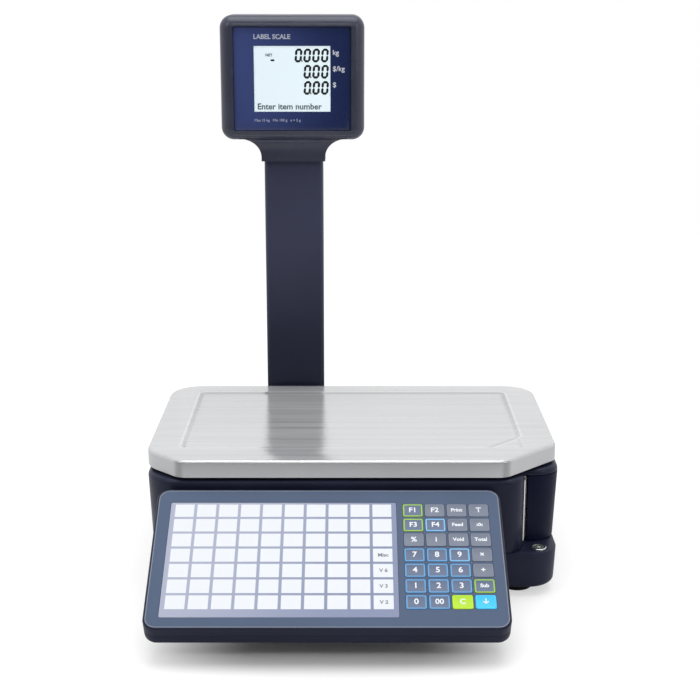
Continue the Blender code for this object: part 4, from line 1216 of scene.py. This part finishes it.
def make_main_board():
    low, high = extent("main_board")
    top = low.z + 0.0016
    board = block("circuit_board", low, (high.x, high.y, top))
    round_edges(board, along(2, shortest=0.001), 0.002, 3)
    cut(board, *[
        rod("fixing", (x, y, low.z - 0.001), 0.0016, 0.01, sides=20)
        for x in (low.x + 0.006, high.x - 0.006) for y in (low.y + 0.006, high.y - 0.008)
    ])
    painted(board, BOARD_GREEN)
    parts = [board]
    core = block("transformer", (-0.124, -0.046, top), (-0.098, -0.014, top + 0.0138))
    round_edges(core, level(2, top + 0.0138), 0.0012, 3)
    parts.append(painted(core, SEALANT))
    parts += chip("processor", -0.074, -0.020, top, (0.020, 0.0186), 0.0028, 16)
    parts += chip("memory", -0.052, -0.024, top, (0.010, 0.006), 0.0018, 8)
    parts += chip("driver", -0.090, 0.030, top, (0.012, 0.007), 0.0020, 10)
    shell = block("connector", (-0.070, 0.020, top), (-0.046, 0.026, top + 0.0088))
    cut(shell, block("socket", (-0.069, 0.021, top + 0.002), (-0.047, 0.025, top + 0.02)))
    parts.append(painted(shell, NYLON))
    parts += [
        painted(block("pin", (-0.0680 + 0.0025 * k, 0.0228, top + 0.002),
                      (-0.0675 + 0.0025 * k, 0.0232, top + 0.0075)), TINNED)
        for k in range(9)
    ]
    for x, y, r, h in ((-0.118, 0.006, 0.005, 0.012), (-0.106, 0.008, 0.004, 0.010),
                       (-0.112, 0.024, 0.0032, 0.008)):
        can = rod("capacitor", (x, y, top), r, h, sides=32)
        round_edges(can, level(2, top + h), 0.0006, 3)
        parts.append(painted(can, SCREW_STEEL))
    for k in range(14):
        x, y = -0.046 - 0.006 * (k % 7), 0.040 + 0.010 * (k // 7)
        small = block("resistor", (x - 0.001, y - 0.0006, top), (x + 0.001, y + 0.0006, top + 0.0006))
        parts.append(painted(round_edges(small, level(2, top + 0.0006), 0.00012, 1), BLACK))
    mount(gathered("main_circuit_board", parts), "body", "main_board")


def make_power_inlet():
    low, high = extent("power_inlet")
    middle, height = (low.x + high.x) / 2, (low.z + high.z) / 2
    shell = block("inlet_shell", low, high)
    round_edges(shell, along(1), 0.0018, 4)
    round_edges(shell, level(1, high.y), 0.0006, 2)
    mouth = block("mouth", (middle - 0.0115, high.y - 0.016, height - 0.008),
                  (middle + 0.0115, high.y + 0.001, height + 0.008))
    round_edges(mouth, along(1, near=(middle - 0.0115, height - 0.008)), 0.0046, 1)
    round_edges(mouth, along(1, near=(middle + 0.0115, height - 0.008)), 0.0046, 1)
    round_edges(mouth, along(1), 0.0009, 3)
    cut(shell, mouth)
    painted(shell, BLACK)
    pins = []
    for x, z in ((middle - 0.007, height - 0.002), (middle, height + 0.002),
                 (middle + 0.007, height - 0.002)):
        pin = block("pin", (x - 0.001, high.y - 0.017, z - 0.002), (x + 0.001, high.y - 0.006, z + 0.002))
        round_edges(pin, level(1, high.y - 0.006), 0.0006, 2)
        pins.append(painted(pin, TINNED))
    mount(gathered("inlet_socket", [shell, *pins]), "body", "power_inlet")


def make_power_switch():
    low, high = extent("power_switch")
    half_x, half_z = (high.x - low.x) / 2, (high.z - low.z) / 2
    centre = Vector(joint_place("ac_switch_rock"))
    rocker = block("switch_rocker", (-half_x, -0.004, -half_z), (half_x, 0.0045, half_z))
    opened(rocker)
    pick("EDGE", lambda a, b: abs(a.z - b.z) > 0.004)
    bpy.ops.mesh.subdivide(number_cuts=9)
    closed()
    for vertex in rocker.data.vertices:
        share = abs(vertex.co.z) / half_z
        if vertex.co.y > 0:
            vertex.co.y = 0.0034 + 0.0009 * share * share
        elif share > 0.99:
            vertex.co.z -= math.copysign(0.003, vertex.co.z)
    round_edges(rocker, along(2), 0.0006, 2)
    painted(rocker, BLACK)
    on = block("on_mark", (-0.0005, 0.00385, 0.0030), (0.0005, 0.00395, 0.0060))
    off = rod("off_mark", (0, 0.00385, -0.0045), 0.0015, 0.0001, "Y", 28)
    cut(off, rod("inner", (0, 0.003, -0.0045), 0.0009, 0.002, "Y", 28))
    marks = [painted(mark, PRINT_WHITE) for mark in (on, off)]
    piece = gathered("switch_rocker", [rocker, *marks])
    turn_whole(piece, Matrix.Translation(centre) @ Matrix.Rotation(math.radians(5), 4, "X"))
    mount(piece, "power_switch", "power_switch")


def make_load_carrier():
    low, high = extent("load_carrier")
    x = (low.x + high.x) / 2
    under, top = 0.1170, 0.1205
    hub = block("spider_plate", (x - 0.020, -0.050, under), (x + 0.020, 0.140, top))
    arms = [block("arm", (x - 0.140, y - 0.010, under), (x + 0.140, y + 0.010, top))
            for y in (-0.020, 0.110)]
    merge(hub, *arms)
    round_edges(hub, along(2), 0.0030, 4)
    round_edges(hub, level(2, top), 0.0006, 2)
    cut(hub, *[
        rod("window", (x, y, under - 0.001), 0.011, 0.01, sides=40) for y in (0.010, 0.045, 0.072)
    ])
    painted(hub, ALUMINIUM)
    parts = [hub]
    for side in (-1, 1):
        rib = block("rib", (x + side * 0.0165 - 0.0015, -0.044, top - 0.001),
                    (x + side * 0.0165 + 0.0015, 0.134, top + 0.0030))
        parts.append(painted(round_edges(rib, level(2, top + 0.0030), 0.0006, 2), ALUMINIUM))
        for y in (-0.020, 0.110):
            pad = rod("platter_pad", (x + side * 0.128, y, top - 0.0005), 0.008, high.z - top + 0.0005,
                      sides=48)
            round_edges(pad, level(2, high.z), 0.0009, 3)
            parts.append(painted(pad, RUBBER))
    post = rod("post", (x, 0.096, low.z), 0.009, under - low.z + 0.0005, sides=48)
    round_edges(post, level(2, low.z), 0.0008, 2)
    parts.append(painted(post, ALUMINIUM))
    parts += [screw_head("screw", x + dx, 0.096 + dy, top) for dx, dy in ((-0.005, 0), (0.005, 0))]
    mount(gathered("platter_carrier", parts), "load_carrier", "load_carrier")


# ---- printer works ------------------------------------------------------------------------------
GEAR_MODULE = 0.0015


def gear(name, centre, teeth, phase, z, bore):
    """A straight-sided spur gear with one tooth pointing in the direction of phase."""
    tip, root = GEAR_MODULE * (teeth / 2 + 0.7), GEAR_MODULE * (teeth / 2 - 1)
    quarter = math.pi / 2 / teeth
    lay_down()
    bpy.ops.mesh.primitive_circle_add(vertices=4 * teeth, radius=tip, fill_type="NGON")
    piece = bpy.context.object
    piece.name = name
    opened(piece)
    pick("VERT", lambda p: round(math.atan2(p.y, p.x) / quarter) % 4 > 1)
    bpy.ops.transform.resize(value=(root / tip, root / tip, 1), center_override=(0, 0, 0))
    bpy.ops.mesh.select_all(action="SELECT")
    bpy.ops.mesh.extrude_region_move(TRANSFORM_OT_translate={"value": (0, 0, z[1] - z[0])})
    bpy.ops.mesh.select_all(action="SELECT")
    bpy.ops.mesh.normals_make_consistent(inside=False)
    closed()
    turn_whole(piece,
               Matrix.Translation((*centre[:2], z[0])) @ Matrix.Rotation(phase - quarter / 2, 4, "Z"))
    groove = rod("web", (*centre[:2], z[1] - 0.0008), root - 0.0012, 0.01, sides=64)
    cut(groove, rod("hub", (*centre[:2], 0), max(bore + 0.0014, root * 0.52), 0.2, sides=48))
    cut(piece, groove)
    return cut(piece, rod("bore", (*centre[:2], 0), bore, 0.2, sides=32)) if bore else piece


def tube(name, centre, inner, outer, z, sides=64):
    wall = rod(name, (*centre[:2], z[0]), outer, z[1] - z[0], sides=sides)
    return cut(wall, rod("bore", (*centre[:2], z[0] - 0.01), inner, z[1] - z[0] + 0.02, sides=sides))


def make_drawer():
    low, high = extent("printer_drawer")
    floor, top = low.z, low.z + 0.002
    plate = block("drawer_floor", (low.x, low.y, floor), (0.178, high.y, top))
    round_edges(plate, along(2, near=(0.178, low.y), shortest=0.001), 0.0225, 1)
    round_edges(plate, level(2, top), 0.0004, 2)
    wall = block("drawer_wall", (low.x, -0.030, floor), (low.x + 0.002, high.y, 0.100))
    round_edges(wall, lambda a, b: abs(a.x - b.x) > 0.001 and a.z > 0.09 and b.z > 0.09, 0.010, 8)
    cut(wall, *[
        block("lightening", (low.x - 0.01, y, 0.062), (low.x + 0.01, y + 0.026, 0.084))
        for y in (-0.012, 0.030, 0.072, 0.114)
    ])
    roll_x, roll_y, _ = joint_place("feed_roll_spin")
    rewind_x, rewind_y, _ = joint_place("feed_rewind_spin")
    head_x, head_y, _ = joint_place("head_lever_hinge")
    motor_x, motor_y, _ = joint_place("feed_pinion_spin")
    platen_x, platen_y, _ = joint_place("feed_platen_spin")
    hinge_x, hinge_y, _ = joint_place("door_hinge")
    slots = [block("slot", (x, 0.032, floor - 0.01), (x + 0.004, 0.048, top + 0.01))
             for x in (0.076, 0.160)]
    cut(plate, rod("platen_hole", (platen_x, platen_y, 0), 0.0030, 0.06, sides=32), *slots)
    ear = block("hinge_ear", (0.170, hinge_y - 0.0020, floor), (hinge_x, hinge_y + 0.0020, top))
    merge(plate, ear)
    painted(plate, ZINC)
    painted(wall, ZINC)
    posts = [plate, wall]
    spindle = rod("roll_spindle", (roll_x, roll_y, floor + 0.001), 0.0112, 0.1015 - floor - 0.001, sides=48)
    round_edges(spindle, level(2, 0.1015), 0.0015, 4)
    cut(spindle, rod("hollow", (roll_x, roll_y, 0.060), 0.0092, 0.06, sides=48))
    painted(spindle, BLACK)
    posts.append(spindle)
    for k in range(4):
        angle = math.pi / 4 + k * math.pi / 2
        rib = block("spring_rib", (-0.0006, -0.0012, 0.050), (0.0006, 0.0012, 0.100))
        spun(rib, roll_x + 0.0110 * math.cos(angle), roll_y + 0.0110 * math.sin(angle), angle)
        posts.append(painted(rib, BLACK))
    for name, x, y, radius, height in (
        ("rewind_axle", rewind_x, rewind_y, 0.0045, 0.1015), ("head_axle", head_x, head_y, 0.0025, 0.1015),
        ("door_pin", hinge_x, hinge_y, 0.0020, 0.0500),
    ):
        pin = rod(name, (x, y, floor + 0.0005), radius, height - floor - 0.0005, sides=32)
        posts.append(painted(round_edges(pin, level(2, height), radius * 0.2, 2), SCREW_STEEL))
    for side_x, side_y in ((-1, 1), (-1, -1), (1, 1)):
        leg = rod("motor_leg", (motor_x + side_x * 0.012, motor_y + side_y * 0.012, floor + 0.0005), 0.0018,
                  0.0502 - floor - 0.0005, sides=24)
        posts.append(painted(leg, SCREW_STEEL))
    mount(gathered("drawer_chassis", posts), "printer_drawer", "printer_drawer")


def make_label_roll():
    low, high = extent("label_roll")
    centre = joint_place("feed_roll_spin")
    outer = (high.x - low.x) / 2
    core = tube("roll_core", centre, 0.0127, 0.0146, (low.z, high.z))
    wound = tube("roll_wound", centre, 0.0146, outer - 0.00022, (low.z, high.z), 96)
    round_edges(wound, lambda a, b: (level(2, low.z)(a, b) or level(2, high.z)(a, b))
                and (a.xy - Vector(centre[:2])).length > 0.04, 0.0003, 2)
    labels = tube("outer_labels", centre, outer - 0.0004, outer, (low.z + 0.0015, high.z - 0.0015), 96)
    gaps = []
    for k in range(7):
        gap = block("gap", (0.030, -0.0013, 0), (0.060, 0.0013, 0.2))
        gaps.append(spun(gap, *centre[:2], 0.3 + k * 2 * math.pi / 7))
    cut(labels, gathered("gaps", gaps))
    painted(core, CARDBOARD)
    painted(wound, ROLL_EDGE)
    painted(labels, LABEL_FACE)
    mount(gathered("label_web_roll", [core, wound, labels]), "label_roll", "label_roll")


def make_rewind_spool():
    low, high = extent("rewind_spool")
    centre = joint_place("feed_rewind_spin")
    radius = (high.x - low.x) / 2
    flange = tube("spool_flange", centre, 0.0052, radius, (low.z, low.z + 0.0015))
    round_edges(flange, level(2, low.z + 0.0015), 0.0004, 2)
    for k in range(6):
        angle = k * math.pi / 3
        x, y = centre[0] + 0.0152 * math.cos(angle), centre[1] + 0.0152 * math.sin(angle)
        cut(flange, rod("hole", (x, y, low.z - 0.001), 0.0028, 0.01, sides=28))
    barrel = tube("spool_barrel", centre, 0.0052, 0.0106, (low.z + 0.0012, high.z), 48)
    round_edges(barrel, lambda a, b: level(2, high.z)(a, b) and (a.xy - Vector(centre[:2])).length > 0.009,
                0.0006, 2)
    cut(barrel, block("web_slot", (centre[0] + 0.004, centre[1] - 0.0006, 0.055),
                      (centre[0] + 0.02, centre[1] + 0.0006, 0.2)))
    ribs = []
    for k in range(8):
        rib = block("rib", (0.0100, -0.0007, low.z + 0.0014), (0.0110, 0.0007, high.z - 0.002))
        ribs.append(spun(rib, *centre[:2], math.pi / 8 + k * math.pi / 4))
    parts = [painted(part, NYLON_GREY) for part in (flange, barrel, *ribs)]
    mount(gathered("rewind_hub", parts), "rewind_spool", "rewind_spool")


def make_platen():
    low, high = extent("platen_roller")
    centre = joint_place("feed_platen_spin")
    pair = Vector(joint_place("feed_pinion_spin")[:2]) - Vector(centre[:2])
    phase = math.atan2(pair.y, pair.x)
    wheel = gear("platen_gear", centre, 20, phase, (0.0462, 0.0495), 0)
    painted(wheel, NYLON)
    rubber = rod("platen_rubber", (*centre[:2], 0.0500), 0.0070, high.z - 0.0510, sides=48)
    round_edges(rubber, level(2, 0.0500), 0.0006, 2)
    round_edges(rubber, level(2, high.z - 0.0010), 0.0006, 2)
    painted(rubber, PLATEN_RUBBER)
    shaft = rod("platen_shaft", (*centre[:2], low.z), 0.0026, high.z - low.z, sides=32)
    round_edges(shaft, level(2, high.z), 0.0004, 2)
    painted(shaft, SCREW_STEEL)
    mount(gathered("platen_with_gear", [wheel, rubber, shaft]), "platen_roller", "platen_roller")

    axis = joint_place("feed_pinion_spin")
    pinion = gear("pinion_gear", axis, 12, phase + math.pi + math.pi / 12, (0.0462, 0.0495), 0.0018)
    painted(pinion, BRASS)
    mount(pinion, "drive_pinion", "drive_pinion")


def make_motor():
    low, high = extent("drive_motor")
    case_low = 0.0505
    parts = []
    for z0, z1, finish, shrink in (
        (case_low, 0.0572, ALUMINIUM, 0), (0.0572, 0.0722, LAMINATED, 0.0003),
        (0.0722, high.z - 0.0008, ALUMINIUM, 0),
    ):
        section = block("motor_case", (low.x + shrink, low.y + shrink, z0),
                        (high.x - shrink, high.y - shrink, z1))
        round_edges(section, along(2), 0.003, 1)
        round_edges(section, lambda a, b: level(2, z0)(a, b) or level(2, z1)(a, b), 0.0003, 1)
        parts.append(painted(section, finish))
    x, y = (low.x + high.x) / 2, (low.y + high.y) / 2
    for dx in (-1, 1):
        for dy in (-1, 1):
            parts.append(screw_head("screw", x + dx * 0.0115, y + dy * 0.0115, high.z - 0.0014, 0.0016,
                                    0.0013))
    boss = rod("rear_boss", (x, y, high.z - 0.0010), 0.0055, 0.0008, sides=40)
    parts.append(painted(round_edges(boss, level(2, high.z - 0.0002), 0.0003, 2), ALUMINIUM))
    socket = block("lead_socket", (x - 0.006, high.y - 0.0006, 0.0600), (x + 0.006, high.y, 0.0660))
    parts.append(painted(socket, NYLON))
    shaft = rod("motor_shaft", (x, y, low.z), 0.0014, case_low - low.z + 0.001, sides=24)
    parts.append(painted(shaft, SCREW_STEEL))
    mount(gathered("feed_motor", parts), "printer_drawer", "drive_motor")


def make_print_head():
    low, high = extent("print_head")
    pivot = joint_place("head_lever_hinge")
    platen = joint_place("feed_platen_spin")
    y0, y1 = platen[1] - 0.010, platen[1] + 0.010
    bar = block("heat_sink", (low.x + 0.0010, y0, low.z), (low.x + 0.0050, y1, high.z))
    cut(bar, *[
        block("fin_gap", (low.x + 0.0026, y0 + 0.0020 + 0.0036 * k, low.z - 0.01),
              (low.x + 0.02, y0 + 0.0038 + 0.0036 * k, high.z + 0.01))
        for k in range(3)
    ])
    painted(bar, ALUMINIUM)
    ceramic = block("ceramic", (low.x + 0.0003, y0 + 0.0005, low.z + 0.0005),
                    (low.x + 0.0010, y1 - 0.0005, high.z - 0.0005))
    painted(ceramic, CERAMIC)
    glaze = rod("heater_line", (low.x + 0.0009, platen[1], low.z + 0.002), 0.0009, high.z - low.z - 0.004,
                sides=24)
    painted(glaze, BLACK)
    cover = block("driver_cover", (low.x, y1 - 0.0055, low.z + 0.004),
                  (low.x + 0.0008, y1 - 0.0015, high.z - 0.004))
    painted(round_edges(cover, along(2, shortest=0.0001), 0.0003, 2), BLACK)
    arm = block("arm", (low.x + 0.0020, platen[1] + 0.0040, 0.0700), (pivot[0] + 0.003, pivot[1], 0.0820))
    round_edges(arm, level(2, 0.0820), 0.0008, 2)
    hub = rod("hub", (*pivot[:2], low.z), 0.0055, 0.0505, sides=48)
    round_edges(hub, level(2, low.z + 0.0505), 0.0008, 2)
    merge(hub, arm)
    cut(hub, rod("bore", (*pivot[:2], 0.04), 0.0029, 0.08, sides=32))
    painted(hub, ZINC)
    lever = block("release_tab", (pivot[0] - 0.0050, pivot[1] - 0.0050, 0.0960),
                  (pivot[0] - 0.0010, pivot[1] + 0.0018, 0.1008))
    mount(gathered("thermal_head", [bar, ceramic, glaze, cover, hub, painted(lever, LEVER_GREEN)]),
          "print_head", "print_head")


# ---- camera, floor and light --------------------------------------------------------------------
def make_floor():
    """White card that shows bright to the camera and bounces a softer grey, as a cut-out ground does.

    Its glow fades out in an ellipse under the keypad, where the soft shadow has to show.
    """
    lay_down()
    bpy.ops.mesh.primitive_plane_add(size=1, location=(0, 0.65, 0))
    floor = bpy.context.object
    floor.name = "studio_floor"
    floor.scale = (3.4, 2.5, 1)
    settle(floor)
    paper = Finish("studio_white", (0.50, 0.50, 0.50), 0.85, specular=0.0)
    under_keypad = paper.place(scale=(0.68, 1, 0), shift=(0.010, 0.180, 0))
    away = paper.spread(paper.length(under_keypad), 0.045, 0.130)
    paper.set("Base Color", paper.mix(away, (0.88, 0.88, 0.88), (0.50, 0.50, 0.50)))
    paper.set("Emission Color", paper.mix(away, (0, 0, 0), (1, 1, 1)))
    paper.set("Emission Strength", 0.56)
    bounced = paper.node("ShaderNodeBsdfDiffuse", inputs={"Color": (0.66, 0.66, 0.67, 1)})
    seen = paper.node("ShaderNodeLightPath", output="Is Camera Ray")
    shown = Value(paper, paper.shader.outputs[0])
    both = paper.node("ShaderNodeMixShader", inputs={0: seen, 1: bounced, 2: shown})
    paper.tree.links.new(both.socket, paper.tree.nodes["Material Output"].inputs["Surface"])
    painted(floor, paper.material)


def light_world():
    """Soft light from all round, dimmer from the front, behind a plain white backdrop."""
    world = bpy.context.scene.world or bpy.data.worlds.new("studio")
    bpy.context.scene.world = world
    world.use_nodes = True
    nodes, links = world.node_tree.nodes, world.node_tree.links
    direction = nodes.new("ShaderNodeTexCoord").outputs["Generated"]
    parts = nodes.new("ShaderNodeSeparateXYZ")
    links.new(direction, parts.inputs[0])
    dim = nodes.new("ShaderNodeMapRange")
    dim.interpolation_type = "SMOOTHSTEP"
    for name, value in (("From Min", -0.95), ("From Max", 0.2), ("To Min", 0.14), ("To Max", 0.95)):
        dim.inputs[name].default_value = value
    links.new(parts.outputs["Y"], dim.inputs["Value"])
    links.new(dim.outputs["Result"], nodes["Background"].inputs["Strength"])
    nodes["Background"].inputs["Color"].default_value = (1, 1, 1, 1)
    backdrop = nodes.new("ShaderNodeBackground")
    backdrop.inputs["Color"].default_value = (1, 1, 1, 1)
    seen = nodes.new("ShaderNodeMixShader")
    links.new(nodes.new("ShaderNodeLightPath").outputs["Is Camera Ray"], seen.inputs[0])
    links.new(nodes["Background"].outputs[0], seen.inputs[1])
    links.new(backdrop.outputs[0], seen.inputs[2])
    links.new(seen.outputs[0], nodes["World Output"].inputs["Surface"])
    bpy.context.scene.view_settings.view_transform = "Standard"


def softbox(name, place, aim, size, power):
    """A rectangular lamp that faces a point."""
    lamp = bpy.data.lights.new(name, "AREA")
    lamp.shape = "RECTANGLE"
    lamp.size, lamp.size_y = size
    lamp.energy = power
    holder = bpy.data.objects.new(name, lamp)
    bpy.context.scene.collection.objects.link(holder)
    holder.location = place
    holder.rotation_euler = (Vector(aim) - Vector(place)).to_track_quat("-Z", "Y").to_euler()


def hang_lights():
    softbox("overhead", (0.0, 0.0, 2.0), (0, 0, 0.1), (1.8, 1.4), 22)
    softbox("left_front", (-1.6, -1.2, 1.5), (0, 0, 0.2), (0.7, 1.0), 6)
    softbox("high_front", (0.0, -1.9, 1.75), (0, 0, 0.35), (1.4, 0.35), 6)
    softbox("right_front", (1.4, -1.2, 0.9), (0, 0, 0.1), (0.40, 1.0), 4)


def set_camera():
    camera = bpy.data.cameras.new("camera")
    camera.lens = 74.0
    camera.sensor_width = 36.0
    holder = bpy.data.objects.new("camera", camera)
    bpy.context.scene.collection.objects.link(holder)
    holder.location = (-0.0034, -1.2731, 0.5360)
    holder.rotation_euler = (math.radians(75.652), 0, 0)
    bpy.context.scene.camera = holder


# ---- the whole scale ----------------------------------------------------------------------------
set_camera()
make_floor()
light_world()
hang_lights()
make_platter()
make_base()
make_housing()
make_door()
make_spirit_level()
make_feet()
make_pole()
make_head("head_front", False)
make_head("head_rear", True)
make_display("operator", False)
make_display("customer", True)
make_keypad_casing()
make_preset_card()
make_keys()
make_load_cell()
make_main_board()
make_power_inlet()
make_power_switch()
make_load_carrier()
make_drawer()
make_label_roll()
make_rewind_spool()
make_platen()
make_motor()
make_print_head()
